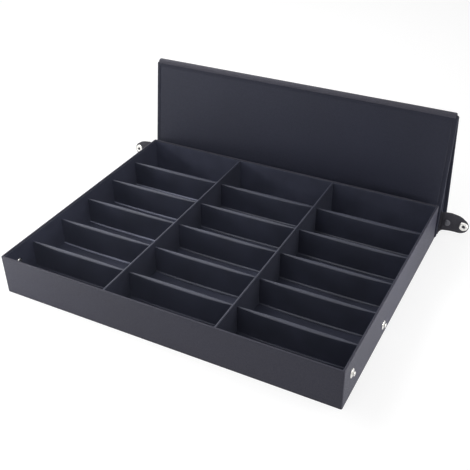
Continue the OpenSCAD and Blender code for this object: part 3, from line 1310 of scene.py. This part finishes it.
@dataclass
class Tray:
    """The covered tray with its linings, partitions, dividers, studs and caps.

    Attributes:
        finishes: The materials.
        sizes: Places from the frame.
        columns: Columns of compartments.
        rows: Rows of compartments.
        corner_r: Radius of the upright corners.
        rim_r: Radius on the rim's edges.
        rim_t: Thickness of the walls at the rim, without the lining.
        rim_steps: Spans in each of the rim's edges.
        swell_h: Height over which a wall swells to its whole thickness below the rim.
        swell_steps: Spans in the swelling.
        end_reach: How far the partitions reach past their solids into the swelling.
        sole_r: Radius on the edge between a wall and the underside.
        sole_steps: Spans in that edge.
        wall_steps: Spans up a wall's outer face.
        corner_dent: Depth of the tuck in the rim at each corner.
        edge_dent: The tuck's share on the rim's edges.
        turn_share: Radius of the lining's top edge, as a share of its thickness.
        pad_corner: Radius of a floor pad's corners.
        pad_edge: Width of its soft edge.
        pad_drop: How far it drops over that edge.
        pad_crown: How far it rises from there to its middle.
        tuck_depth: How far a divider pinches a partition.
        tuck_reach: How far the pinch can be seen.
        row_spans: Sections of a partition in one row.
    """

    finishes: Finishes
    sizes: TraySizes = field(default_factory=TraySizes.read)
    columns: int = 3
    rows: int = 6
    corner_r: float = 2.0 * MM
    rim_r: float = 1.1 * MM
    rim_t: float = 2.7 * MM
    rim_steps: int = 5
    swell_h: float = 32.0 * MM
    swell_steps: int = 6
    end_reach: float = 1.8 * MM
    sole_r: float = 0.8 * MM
    sole_steps: int = 3
    wall_steps: int = 10
    corner_dent: float = 0.35 * MM
    edge_dent: float = 0.6
    turn_share: float = 0.35
    pad_corner: float = 1.0 * MM
    pad_edge: float = 2.2 * MM
    pad_drop: float = 1.1 * MM
    pad_crown: float = 0.35 * MM
    tuck_depth: float = 0.12 * MM
    tuck_reach: float = 14.0 * MM
    row_spans: int = 20

    def build(self) -> None:
        """Makes every piece of the tray."""
        self.cover()
        self.wall_lining()
        self.floor_lining()
        for node in ("partition_left", "partition_right"):
            self.partition(node)
        for column in range(1, self.columns + 1):
            for row in range(1, self.rows):
                Divider(self.finishes, column, row, self.columns).build()
        for node in ("closing_studs", "display_studs", "closing_stud_caps", "display_stud_caps"):
            dress(node, self.finishes.nickel)
        for node in ("base_cover", "tray_base"):
            dress(node, self.finishes.cover)

    def loop(self, depth_in: float, z: float, dent: float = 0.0) -> list[Point3]:
        """One ring round the tray at a distance inside its outer face.

        Args:
            depth_in: Distance inside the outer face.
            z: The ring's height.
            dent: How far the ring dips at the middle of each corner.

        Returns:
            The ring's points, anticlockwise.
        """
        x = self.sizes.width / 2 - self.corner_r
        y = self.sizes.depth / 2 - self.corner_r
        left = self.corner_r - depth_in
        ring = []
        for cx, cy, first in ((x, y, 0), (-x, y, 90), (-x, -y, 180), (x, -y, 270)):
            diagonal = math.radians(first + 45)
            square = [math.copysign(1, part) for part in (math.cos(diagonal), math.sin(diagonal))]
            for i, turn in enumerate(spread(first, first + 90, CORNER_STEPS)):
                angle = math.radians(turn)
                out = square if left < 0 else (math.cos(angle), math.sin(angle))
                dip = dent * max(0.0, 1 - abs(i - CORNER_STEPS / 2))
                ring.append((cx + out[0] * left, cy + out[1] * left, z - dip))
        return ring

    def swelling(self, depth: float, full: float, top: float) -> list[Point2]:
        """How the inside of a wall swells below its thin rim.

        Args:
            depth: Distance inside the outer face at the rim.
            full: The distance where the wall has its whole thickness.
            top: Height at which the swelling starts.

        Returns:
            Depths and heights, from the top down.
        """
        shares = spread(0.0, 1.0, self.swell_steps)
        return [(depth + (full - depth) * eased(t), top - self.swell_h * t) for t in shares]

    def cover(self) -> None:
        """Makes the leatherette that wraps the four side boards, turned over the rim."""
        z0, z1 = self.sizes.high.z, self.sizes.rim_z
        t, r, b, rim = self.sizes.wall_t, self.rim_r, self.sole_r, self.rim_t
        dent, turns = self.edge_dent, quarter(self.rim_steps)
        profile = [(t, z0, 0.0), (b, z0, 0.0)]
        profile += [
            (b - b * math.sin(a), z0 + b - b * math.cos(a), 0.0) for a in quarter(self.sole_steps)
        ]
        profile += [(0.0, z, 0.0) for z in spread(z0 + b, z1 - r, self.wall_steps)[1:-1]]
        profile += [(r - r * math.cos(a), z1 - r + r * math.sin(a), dent) for a in turns]
        profile += [(rim / 2, z1, 1.0)]
        profile += [(rim - r + r * math.sin(a), z1 - r + r * math.cos(a), dent) for a in turns]
        profile += [(depth, z, 0.0) for depth, z in self.swelling(rim, t, z1 - 2 * r)]
        profile += [(t, (z0 + z1) / 2, 0.0)]
        rings = [self.loop(depth, z, share * self.corner_dent) for depth, z, share in profile]
        piece = skinned("tray_cover", rings, self.finishes.cover, closed_length=True)
        attach(piece, Body.TRAY)
        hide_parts("front_wall", "rear_wall", "left_wall", "right_wall")

    def wall_lining(self) -> None:
        """Makes the lining inside the walls, with its turned top edge."""
        turn_steps, foot_steps = 4, 5
        outer, rim = self.sizes.wall_t, self.rim_t
        t = self.sizes.width / 2 - self.sizes.pad_high.x - outer
        r = t * self.turn_share
        z0, top = self.sizes.pad_low.z, self.sizes.lining_top - r
        turns = quarter(turn_steps)
        profile = [(outer, z0)] + self.swelling(rim, outer, top)[::-1]
        profile += [(rim + r - r * math.cos(a), top + r * math.sin(a)) for a in turns][1:]
        profile += [(rim + r + r * math.sin(a), top + r * math.cos(a)) for a in turns][:-1]
        profile += self.swelling(rim + 2 * r, outer + t, top)
        profile += [(outer + t, z) for z in spread(z0, top - self.swell_h, foot_steps)[-2::-1]]
        rings = [self.loop(depth, z) for depth, z in profile]
        # The wall lining's suede is painted lighter, as light falling on the walls.
        piece = skinned("tray_wall_lining", rings, self.finishes.wall_suede, closed_length=True)
        attach(piece, Body.TRAY)
        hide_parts("wall_lining")

    def floor_lining(self) -> None:
        """Makes the padded floor: one crowned pad, repeated in every compartment."""
        low, high = self.sizes.pad_low, self.sizes.pad_high
        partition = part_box("partition_left")
        partition_t = partition[1].x - partition[0].x
        pitch_x = (high.x - low.x + partition_t) / self.columns
        front = self.divider_y(1) - low.y
        pitch_y = (high.y - low.y - front) / (self.rows - 1)
        rings = self.pad(pitch_x, pitch_y, high.z - low.z)
        piece = skinned("floor_lining", rings, self.finishes.suede)
        PadGrid(self.columns, self.rows, pitch_x, pitch_y, front, low.z).apply(piece)
        attach(piece, Body.TRAY)
        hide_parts("floor_pad")

    def pad(self, width: float, depth: float, height: float) -> list[list[Point3]]:
        """One floor pad round the origin: flat below, and dropping softly at its edges.

        Args:
            width: The pad's width.
            depth: The pad's depth.
            height: Its height at the middle.

        Returns:
            The pad's rings, from its underside up.
        """
        edge_steps, crown_steps = 4, 4
        edge, drop, crown = self.pad_edge, self.pad_drop, self.pad_crown
        levels = [(0.0, 0.0)]
        levels += [
            (edge * (1 - math.cos(a)), height - crown - drop * (1 - math.sin(a)))
            for a in quarter(edge_steps)
        ]
        levels += [
            (edge + (depth / 2 - 2 * edge) * share, height - crown * (1 - share) ** 2)
            for share in spread(0.0, 1.0, crown_steps)[1:]
        ]
        return [
            [(x, y, z) for x, y in inner_outline(width, depth, self.pad_corner, amount)]
            for amount, z in levels
        ]

    @staticmethod
    def divider_y(row: int) -> float:
        """The middle of a row of dividers along Y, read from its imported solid."""
        low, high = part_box(f"divider_1_{row}")
        return (low.y + high.y) / 2

    def partition(self, node: str) -> None:
        """Makes a partition: a board in suede, its top full-round, pinched at each divider.

        Args:
            node: The partition's node.
        """
        low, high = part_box(node)
        half, middle = (high.x - low.x) / 2, (low.x + high.x) / 2
        front, rear = low.y - self.end_reach, high.y + self.end_reach
        tucks = [front, rear] + [self.divider_y(row) for row in range(1, self.rows)]
        top = [
            (half * math.cos(a), high.z - half + half * math.sin(a))
            for a in half_turn(CORNER_STEPS)
        ]
        section = [(half, low.z)] + top + [(-half, low.z)]
        rings = []
        for y in spread(front, rear, self.rows * self.row_spans):
            near = min(abs(y - tuck) for tuck in tucks)
            pinch = self.tuck_depth * max(0.0, 1 - near / self.tuck_reach) ** 2
            scale = (half - pinch) / half
            rings.append([(middle + x * scale, y, z - pinch) for x, z in section])
        piece = skinned(f"{node}_cover", rings, self.finishes.suede)
        attach(piece, Body.TRAY)
        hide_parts(node)


@dataclass
class Lid:
    """The lid's two covered panels, their linings, the fold strip and the hinge flap.

    Attributes:
        finishes: The materials.
        front: The front panel's axes.
        rear: The rear panel's axes.
        edge_r: Radius on the panels' edges.
        edge_steps: Spans in those edges.
        corner_r: Radius of the panels' corners.
        border: Distance of the pressed crease from a panel's edges.
        crease: The crease's section: shares of its half width and of its depth.
        crease_half: Half the crease's width.
        crease_depth: The crease's depth.
        fold_share: The crease's depth along the fold, as a share of its full depth.
        strip_t: Thickness of the fold strip.
        skive: Its thickness at its lower edges, where it is pared.
        lap: Gap between the strip and the panels.
        front_lap: How far the strip reaches down the front, as a share of the rear.
        strip_steps: Spans down each side of the strip.
        edge_roll: Height of the roll along the strip's lower edges.
        roll_place: The roll's place, from 0 at the edge to 1 at the fold.
        roll_reach: The roll's half width, on the same scale.
        crown_steps: Spans over the fold.
        crown_power: Fullness of the strip over the fold, 1 for an ellipse.
        strip_end: Length of the strip's rounded ends.
        strip_wave: Depth of the waves along the strip's crown.
        flap_share: The flap's thickness, as a share of its solid's.
        groove_share: What a pressed groove leaves of that thickness.
        flap_steps: Spans across each half of the flap.
        flap_spans: Sections along the flap.
        flap_bend: How far the flap's bends reach from the tray and from the panel. Not used.
        flap_turn: Radius at which the flap turns up at the panel's foot.
    """

    finishes: Finishes
    front: PanelFrame
    rear: PanelFrame
    edge_r: float = 1.1 * MM
    edge_steps: int = 5
    corner_r: float = 3.0 * MM
    border: float = 6.4 * MM
    crease: Sequence[Point2] = (
        (1.0, 0.0), (0.55, 0.5), (0.2, 1.0), (-0.2, 1.0), (-0.55, 0.5), (-1.0, 0.0)
    )
    crease_half: float = 0.9 * MM
    crease_depth: float = 0.45 * MM
    fold_share: float = 0.2
    strip_t: float = 0.8 * MM
    skive: float = 0.14 * MM
    lap: float = 0.03 * MM
    front_lap: float = 0.3
    strip_steps: int = 12
    edge_roll: float = 0.5 * MM
    roll_place: float = 0.45
    roll_reach: float = 0.25
    crown_steps: int = 14
    crown_power: float = 0.85
    strip_end: float = 2.0 * MM
    strip_wave: float = 0.16 * MM
    flap_share: float = 0.96
    groove_share: float = 0.2
    flap_steps: int = 12
    flap_spans: int = 40
    flap_bend: float = 3.0 * MM
    flap_turn: float = 1.6 * MM

    def build(self) -> None:
        """Makes every piece of the lid but its straps."""
        for panel, body, node in (
            (self.front, Body.FRONT, "front_panel"),
            (self.rear, Body.REAR, "rear_panel"),
        ):
            self.board(panel, body, node)
            self.lining(panel, body, node)
        self.fold_strip()
        self.flap_front()
        self.flap_rear()

    def board(self, panel: PanelFrame, body: Body, node: str) -> None:
        """Makes a panel: board in leatherette, its edges rounded, with a pressed crease.

        Args:
            panel: The panel's axes.
            body: The body that carries it.
            node: The node that it replaces.
        """
        along_fold = 0.3 * MM
        size = (2 * panel.half_w, panel.length, self.corner_r)
        rings = []
        for share, deep in self.crease:
            border = self.border + self.crease_half * share
            fold_side = panel.length / 2 - border - along_fold
            full = self.crease_depth * deep
            rings.append([
                (x, y, full * (self.fold_share if y > fold_side else 1))
                for x, y in inner_outline(*size, border)
            ])
        rings += slab_rings(rounded_outline(*size), panel.board_t, self.edge_r, self.edge_steps)
        place = panel.matrix(s=panel.length / 2)
        # The panel's leatherette is painted darker than the tray's, as shade.
        piece = skinned(f"{node}_cover", placed(rings, place), self.finishes.lid)
        attach(piece, body)
        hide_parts(node)

    def lining(self, panel: PanelFrame, body: Body, node: str) -> None:
        """Makes the suede on a panel's inner face, with its edge pressed down.

        Args:
            panel: The panel's axes.
            body: The body that carries it.
            node: The name of the panel's node.
        """
        corner_steps, edge_steps, edge_share, tolerance = 6, 4, 0.9, 1e-9
        width = 2 * (panel.half_w - panel.margin)
        length = panel.length - 2 * panel.margin
        outline = rounded_outline(width, length, self.corner_r, corner_steps)
        edge = panel.lining_t * edge_share
        slab = slab_rings(outline, panel.lining_t + edge, edge, edge_steps)
        upper = [ring for ring in slab if ring[0][2] >= edge - tolerance]
        rings = [[(x, y, z - edge) for x, y, z in ring] for ring in upper]
        place = panel.matrix(n=panel.board_t, s=panel.length / 2)
        piece = skinned(f"{node}_suede", placed(rings, place), self.finishes.suede)
        attach(piece, body)
        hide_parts(f"{node}_lining")

    def fold_section(self, top_z: float, leg: float, end: float) -> list[Point2]:
        """The fold strip's closed outline across the fold, in Y and Z.

        Args:
            top_z: Height of the strip's crown.
            leg: Length of the strip down the rear panel.
            end: From 0 at the strip's rounded end to 1 along its length.

        Returns:
            The outline: up the front, over the fold, down the rear, and back inside.
        """
        end_t, end_rise = 0.4, 0.7
        sides: list[tuple[list[Point2], list[Point2]]] = []
        for panel, share in ((self.front, self.front_lap), (self.rear, 1.0)):
            outer, inner = [], []
            for t in spread(0.0, 1.0, self.strip_steps):
                place = panel.origin + panel.up * (panel.length - leg * share * (1 - t))
                roll = self.edge_roll * math.exp(-((t - self.roll_place) / self.roll_reach) ** 2)
                swell = (self.strip_t - self.skive) * eased(t) * (end_t + (1 - end_t) * end)
                for line, out in ((outer, self.skive + swell + roll), (inner, self.lap)):
                    point = place - panel.inward * out
                    line.append((point.y, point.z))
            sides.append((outer, inner))
        crowns = []
        for index, cut in ((0, 0.0), (1, self.strip_t)):
            one, two = Vector(sides[0][index][-1]), Vector(sides[1][index][-1])
            middle, half = (one + two) / 2, (two.x - one.x) / 2
            rise = (top_z - cut - middle.y) * (end_rise + (1 - end_rise) * end)
            crowns.append([
                (middle.x - half * math.cos(a), middle.y + rise * math.sin(a) ** self.crown_power)
                for a in half_turn(self.crown_steps)[1:-1]
            ])
        over = sides[0][0] + crowns[0] + list(reversed(sides[1][0]))
        under = sides[1][1] + list(reversed(crowns[1])) + list(reversed(sides[0][1]))
        return over + under

    def fold_strip(self) -> None:
        """Makes the leatherette strip over the fold."""
        end_steps, spans, wave_rate, wave_line = 5, 60, 14, (2.0, 5.0)
        low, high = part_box("fold_strip")
        joint = joint_place("fold_hinge")
        leg, width = joint.z - low.z, high.x - low.x
        ends = [self.strip_end * (1 - math.cos(a)) for a in quarter(end_steps)]
        inside = spread(self.strip_end, width - self.strip_end, spans)[1:-1]
        rings = []
        for place in ends + inside + [width - end for end in reversed(ends)]:
            x = low.x + place
            near = min(min(place, width - place) / self.strip_end, 1.0)
            end = math.sqrt(max(0.0, 1 - (1 - near) ** 2))
            wave = self.strip_wave * (noise.noise(Vector((x * wave_rate, *wave_line))) - 1)
            rings.append([(x, y, z) for y, z in self.fold_section(high.z + wave, leg, end)])
        # The strip's leatherette is painted paler than the panels', as a highlight.
        piece = skinned("fold_strip_cover", rings, self.finishes.fold)
        declare(piece)
        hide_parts("fold_strip")
        outline = self.fold_section(high.z, leg, 1.0)
        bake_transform(piece)

    def flap_sheet(
        self, name: str, path: Sequence[Point2], pressed: Sequence[int] = ()
    ) -> bpy.types.Object:
        """Makes one stretch of the hinge flap from its line across.

        Args:
            name: The piece's name.
            path: The middle line in Y and Z.
            pressed: Points where the front panel's foot has pressed a groove into it.

        Returns:
            The piece.
        """
        low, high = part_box("hinge_flap")
        thick = (high.z - low.z) * self.flap_share
        groove = thick * self.groove_share
        widths = [groove if i in pressed else thick for i in range(len(path))]
        drop = (thick - groove) / 2
        path = [(y, z - drop if i in pressed else z) for i, (y, z) in enumerate(path)]
        section = thicken(path, widths)
        places = spread(low.x, high.x, self.flap_spans)
        piece = skinned(name, [[(x, y, z) for y, z in section] for x in places], self.finishes.cover)
        declare(piece)
        return piece

    @staticmethod
    def flap_places() -> tuple[float, float, float, float]:
        """The flap's front edge, middle and rear edge along Y, and its middle height."""
        low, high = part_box("hinge_flap")
        return low.y, (low.y + high.y) / 2, high.y, (low.z + high.z) / 2

    def flap_front(self) -> None:
        """Makes the flap's front half, flat from its front edge to its middle."""
        front, middle, _, z = self.flap_places()
        path = [(y, z) for y in spread(front, middle, self.flap_steps)]
        piece = self.flap_sheet("hinge_flap_front", path)
        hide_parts("hinge_flap")
        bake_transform(piece)

    def flap_rear(self) -> None:
        """Makes the flap's rear half, which turns up at the rear panel's foot."""
        turn_steps, last_angle, rises = 6, -8, (1.5 * MM, 3.0 * MM, 4.5 * MM)
        pressed = (8, 9, 10)
        _, middle, rear, z = self.flap_places()
        turn = self.flap_turn
        path = [(y, z) for y in spread(middle, rear, self.flap_steps)]
        path += arc((rear, z + turn), turn, -90, last_angle, turn_steps)[1:]
        foot = Vector(path[-1])
        lean = math.atan2(self.rear.up.y, self.rear.up.z)
        path += [(foot.x + math.sin(lean) * d, foot.y + math.cos(lean) * d) for d in rises]
        piece = self.flap_sheet("hinge_flap_rear", path, pressed)
        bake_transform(piece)


@dataclass
class Strap:
    """A snap strap: a flared root in the panel's edge, and an outer layer riveted to it.

    Attributes:
        finishes: The materials.
        side: The strap's side.
        front: The front panel's axes.
        low_flare: Radius of the flare nearer the panel's foot.
        high_flare: Radius of the flare on the other side.
        gap: Gap between the root and the panel's edge.
        root_corner: Radius of the root's outer corners.
        layer_corner: Radius of the outer layer's corners at the root.
        edge_r: Radius on the layers' edges.
        bow: How far the strap's middle has set upwards.
        taper: How much narrower the strap is at its tip, as a share.
        bend: How far the bend at the panel's edge reaches outwards. Not used.
        bend_in: How far it reaches inwards, as a share of that. Not used.
        eye_r: Radius of the dark eye in the snap cap.
        eye_t: The eye's thickness.
    """

    finishes: Finishes
    side: Side
    front: PanelFrame
    low_flare: float = 8.0 * MM
    high_flare: float = 2.0 * MM
    gap: float = 0.2 * MM
    root_corner: float = 3.0 * MM
    layer_corner: float = 2.0 * MM
    edge_r: float = 0.3 * MM
    bow: float = 2.2 * MM
    taper: float = 0.16
    bend: float = 2.2 * MM
    bend_in: float = 0.55
    eye_r: float = 2.1 * MM
    eye_t: float = 0.2 * MM

    def build(self) -> None:
        """Makes the strap's two layers and dresses its metal."""
        self.read_frame()
        self.root()
        self.outer_layer()
        self.snap_eye()
        word = self.side.word
        dress(f"snap_cap_{word}", self.finishes.nickel)
        dress(f"snap_socket_{word}", self.finishes.nickel)
        dress(f"strap_rivet_{word}", self.finishes.gunmetal)

    def read_frame(self) -> None:
        """Reads the strap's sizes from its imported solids."""
        self.joint = joint_place(f"strap_{self.side.word}_hinge")
        self.axis_x = self.joint.x * self.side.value
        self.axis_s = (self.joint - self.front.origin).dot(self.front.up)
        self.axis_n = (self.joint - self.front.origin).dot(self.front.inward)
        layer = self.extent(f"strap_{self.side.word}")
        root = self.extent(f"strap_tongue_{self.side.word}")
        self.outer_x = (layer[0][0] - self.axis_x, layer[1][0] - self.axis_x)
        self.half_w = (layer[1][1] - layer[0][1]) / 2
        self.root_x = root[1][0] - self.axis_x
        self.layer_t = layer[1][2] - layer[0][2]

    def extent(self, node: str) -> tuple[Point3, Point3]:
        """A solid's lowest and highest x, s and n, with x counted outwards.

        Args:
            node: The solid's name.

        Returns:
            The lowest values, and the highest.
        """
        rows = [
            (
                v.co.x * self.side.value,
                (v.co - self.front.origin).dot(self.front.up),
                (v.co - self.front.origin).dot(self.front.inward),
            )
            for v in frame["nodes"][node].data.vertices
        ]
        columns = list(zip(*rows))
        return tuple(map(min, columns)), tuple(map(max, columns))

    def layer(self, name: str, points: Sequence[Point2], step: float, n: float) -> bpy.types.Object:
        """Makes one layer of the strap from its outline.

        Args:
            name: The piece's name, without its side.
            points: The outline, drawn outwards from the axis.
            step: The longest side that stays whole.
            n: Depth of the layer's underside below the axis.

        Returns:
            The piece.
        """
        outline = self.bowed(subdivided(points, step))
        flip = Matrix.Diagonal((self.side.value, 1, 1, 1))
        shift = Matrix.Translation((self.axis_x * self.side.value, 0, 0))
        place = self.front.matrix(n=self.axis_n + n, s=self.axis_s) @ shift @ flip
        rings = placed(slab_rings(outline, self.layer_t, self.edge_r), place)
        return skinned(f"{name}_{self.side.word}", rings, self.finishes.strap)

    def root(self) -> None:
        """Makes the root layer between the panel's edge and the strap."""
        h, low, high, corner = self.half_w, self.low_flare, self.high_flare, self.root_corner
        panel_edge = self.front.half_w - self.axis_x - self.gap
        end = self.root_x - corner
        points = [(panel_edge, -h - low)]
        points += arc((low, -h - low), low, 180, 90, 8)
        points += [(end, -h)]
        points += arc((end, -h + corner), corner, -90, 0, 5)[1:]
        points += arc((end, h - corner), corner, 0, 90, 5)
        points += arc((high, h + high), high, -90, -180, 5)
        points += [(panel_edge, h + high)]
        piece = self.layer("strap_root", points, 1.2 * MM, 0.0)
        declare(piece)
        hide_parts(f"strap_tongue_{self.side.word}")
        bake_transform(piece)

    def outer_layer(self) -> None:
        """Makes the outer layer with its round tip."""
        h, corner = self.half_w, self.layer_corner
        start, tip = self.outer_x
        points = arc((start + corner, -h + corner), corner, 180, 270, 4)
        points += arc((tip - h, 0.0), h, -90, 90, 24)
        points += arc((start + corner, h - corner), corner, 90, 180, 4)
        piece = self.layer("strap_layer", points, 2.0 * MM, -self.layer_t)
        attach(piece, self.side.strap_body)
        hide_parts(f"strap_{self.side.word}")

    def bowed(self, outline: Sequence[Point2]) -> list[Point2]:
        """An outline narrowed to its tip, with its middle raised, as the worn strap has set.

        Args:
            outline: The flat outline.

        Returns:
            The outline's points, moved.
        """
        reach = self.outer_x[1] - self.half_w / 2
        points = []
        for x, y in outline:
            share = min(max(x / reach, 0.0), 1.0)
            narrow = 1 - self.taper * share ** 3
            points.append((x, y * narrow + self.bow * math.sin(math.pi * share)))
        return points

    def snap_eye(self) -> None:
        """Makes the dark disc at the bottom of the snap cap's eye."""
        depth_share, sunk_share, edge_share = 0.3, 0.75, 0.3
        cap = self.extent(f"snap_cap_{self.side.word}")
        layer = self.extent(f"strap_{self.side.word}")
        x, s = (cap[0][0] + cap[1][0]) / 2, (cap[0][1] + cap[1][1]) / 2
        floor_n = layer[0][2] - (layer[0][2] - cap[0][2]) * depth_share
        disc = arc((0.0, 0.0), self.eye_r, 0, 345, 23)
        place = self.front.matrix(n=floor_n - self.eye_t * sunk_share, s=s)
        place = place @ Matrix.Translation((x * self.side.value, 0, 0))
        rings = placed(slab_rings(disc, self.eye_t, self.eye_t * edge_share, 2), place)
        piece = skinned(f"snap_eye_{self.side.word}", rings, self.finishes.strap)
        attach(piece, self.side.strap_body)


# Studio


@dataclass(frozen=True)
class StudioLight:
    """A soft rectangular lamp.

    Attributes:
        name: The lamp's name.
        place: Where it stands.
        target: What it looks at.
        size: Its width and height.
        power: Its power in watts.
    """

    name: str
    place: Point3
    target: Point3
    size: Point2
    power: float

    def build(self) -> None:
        """Makes the lamp."""
        lamp = bpy.data.lights.new(self.name, "AREA")
        lamp.shape = "RECTANGLE"
        lamp.size, lamp.size_y = self.size
        lamp.energy = self.power
        piece = bpy.data.objects.new(self.name, lamp)
        piece.visible_camera = False
        piece.location = self.place
        aim = Vector(self.target) - Vector(self.place)
        piece.rotation_euler = aim.to_track_quat("-Z", "Y").to_euler()
        bpy.context.scene.collection.objects.link(piece)


LAMPS = (
    StudioLight("lamp_top", (-0.45, 0.1, 0.95), (-0.1, 0.05, 0.05), (0.3, 0.3), 0.8),
    StudioLight("lamp_fill", (0.1, -0.4, 0.6), (-0.15, 0.0, 0.05), (0.4, 0.4), 0.95),
    StudioLight("lamp_column", (-0.12, -0.2, 0.45), (-0.2, -0.05, 0.03), (0.2, 0.3), 0.5),
    StudioLight("lamp_high", (-1.0, 0.1, 1.0), (-0.1, 0.0, 0.05), (0.5, 0.5), 2.6),
    StudioLight("lamp_low", (-1.3, -0.1, 0.5), (-0.1, 0.0, 0.05), (0.3, 0.3), 7.5),
    StudioLight("lamp_rear", (-0.75, 0.8, 1.1), (-0.1, 0.0, 0.05), (0.7, 0.3), 6.0),
    StudioLight("lamp_right", (1.8, 0.35, 0.8), (0.0, 0.0, 0.05), (1.2, 1.0), 5.8),
    StudioLight("lamp_left", (-0.8, -0.85, 0.45), (-0.3, 0.0, 0.08), (0.5, 0.5), 0.8),
    StudioLight("lamp_near", (-0.42, -0.45, 0.035), (-0.2, -0.19, 0.03), (0.2, 0.03), 1.1),
    StudioLight("lamp_front", (0.12, -0.45, 0.035), (0.12, -0.19, 0.03), (0.3, 0.03), 0.08),
    StudioLight("lamp_side", (0.65, 0.05, 0.035), (0.24, -0.05, 0.03), (0.35, 0.03), 2.3),
)


@dataclass(frozen=True)
class Studio:
    """The pale studio: a floor, a white surround, soft lamps and the camera.

    Attributes:
        camera_place: The camera's place.
        forward: The direction that it looks in.
        roll: Its roll, in radians.
        lens: Its lens in millimetres.
        sensor: Width of its sensor in millimetres.
        floor_reach: Half the floor's width.
        floor_spans: The floor's faces along each side.
        floor_drop: How far the floor lies below the object's foot.
        floor_grey: The floor's tone.
        floor_roughness: The floor's roughness.
        floor_glow: How bright the floor shows to the camera and in reflections.
        surround_light: Strength of the surround's light on the object.
    """

    camera_place: Point3 = (0.41832, -0.76748, 0.63686)
    forward: Point3 = (-0.39041497, 0.73209422, -0.55822415)
    roll: float = -0.0175
    lens: float = 58.56
    sensor: float = 36.0
    floor_reach: float = 6.0
    floor_spans: int = 8
    floor_drop: float = 0.2 * MM
    floor_grey: float = 0.3
    floor_roughness: float = 0.9
    floor_glow: float = 0.8
    surround_light: float = 0.1

    def build(self) -> None:
        """Makes the camera, the floor, the surround and the lamps."""
        bpy.context.scene.view_settings.view_transform = "Standard"
        self.camera()
        self.floor()
        self.world()
        for lamp in LAMPS:
            lamp.build()

    def camera(self) -> None:
        """Makes the camera at the photograph's viewpoint."""
        data = bpy.data.cameras.new("camera")
        data.sensor_width = self.sensor
        data.lens = self.lens
        camera = bpy.data.objects.new("camera", data)
        forward = Vector(self.forward)
        right = forward.cross(Vector((0, 0, 1))).normalized()
        up = right.cross(forward)
        x = right * math.cos(self.roll) + up * math.sin(self.roll)
        y = -right * math.sin(self.roll) + up * math.cos(self.roll)
        turn = Matrix((x, y, -forward)).transposed().to_4x4()
        camera.matrix_world = Matrix.Translation(self.camera_place) @ turn
        bpy.context.scene.collection.objects.link(camera)
        bpy.context.scene.camera = camera

    def floor(self) -> None:
        """Makes the pale floor, whose colour fades to the white surround."""
        bm = bmesh.new()
        bmesh.ops.create_grid(
            bm, x_segments=self.floor_spans, y_segments=self.floor_spans, size=self.floor_reach
        )
        mesh = bpy.data.meshes.new("floor")
        bm.to_mesh(mesh)
        bm.free()
        floor = bpy.data.objects.new("floor", mesh)
        floor.location.z = -self.floor_drop
        bpy.context.scene.collection.objects.link(floor)
        material = bpy.data.materials.new("floor_white")
        material.use_nodes = True
        sh = Shader(material.node_tree)
        bsdf = material.node_tree.nodes["Principled BSDF"]
        bsdf.inputs["Base Color"].default_value = (*(self.floor_grey,) * 3, 1.0)
        bsdf.inputs["Roughness"].default_value = self.floor_roughness
        bsdf.inputs["Emission Color"].default_value = (*WHITE, 1.0)
        seen = sh.seen_rays("Is Camera Ray", "Is Glossy Ray")
        sh.link(sh.math("MULTIPLY", seen, self.floor_glow), bsdf.inputs["Emission Strength"])
        mesh.materials.append(material)

    def world(self) -> None:
        """Makes the surround: white to the camera, and a plain soft light on the object."""
        world = bpy.data.worlds.new("surround")
        bpy.context.scene.world = world
        world.use_nodes = True
        sh = Shader(world.node_tree)
        background = world.node_tree.nodes["Background"]
        strength = sh.add("ShaderNodeMapRange")
        strength.inputs["To Min"].default_value = self.surround_light
        strength.inputs["To Max"].default_value = 1.0
        seen = sh.seen_rays("Is Camera Ray", "Is Glossy Ray", "Is Transmission Ray")
        sh.link(seen, strength.inputs["Value"])
        background.inputs["Color"].default_value = (*WHITE, 1.0)
        sh.link(strength.outputs["Result"], background.inputs["Strength"])


def main() -> None:
    """Builds the studio and the box, in order."""
    logging.basicConfig(level=logging.INFO, format="%(name)s: %(message)s")
    Studio().build()
    finishes = Finishes.build()
    axis = joint_axis("strap_right_hinge")
    lean = math.atan2(axis.y, axis.z)
    front = PanelFrame("front_panel", "front_panel_lining", lean, 1)
    rear = PanelFrame("rear_panel", "rear_panel_lining", lean, -1)
    Tray(finishes).build()
    Lid(finishes, front, rear).build()
    for side in Side:
        Strap(finishes, side, front).build()


if __name__ == "__main__":
    main()
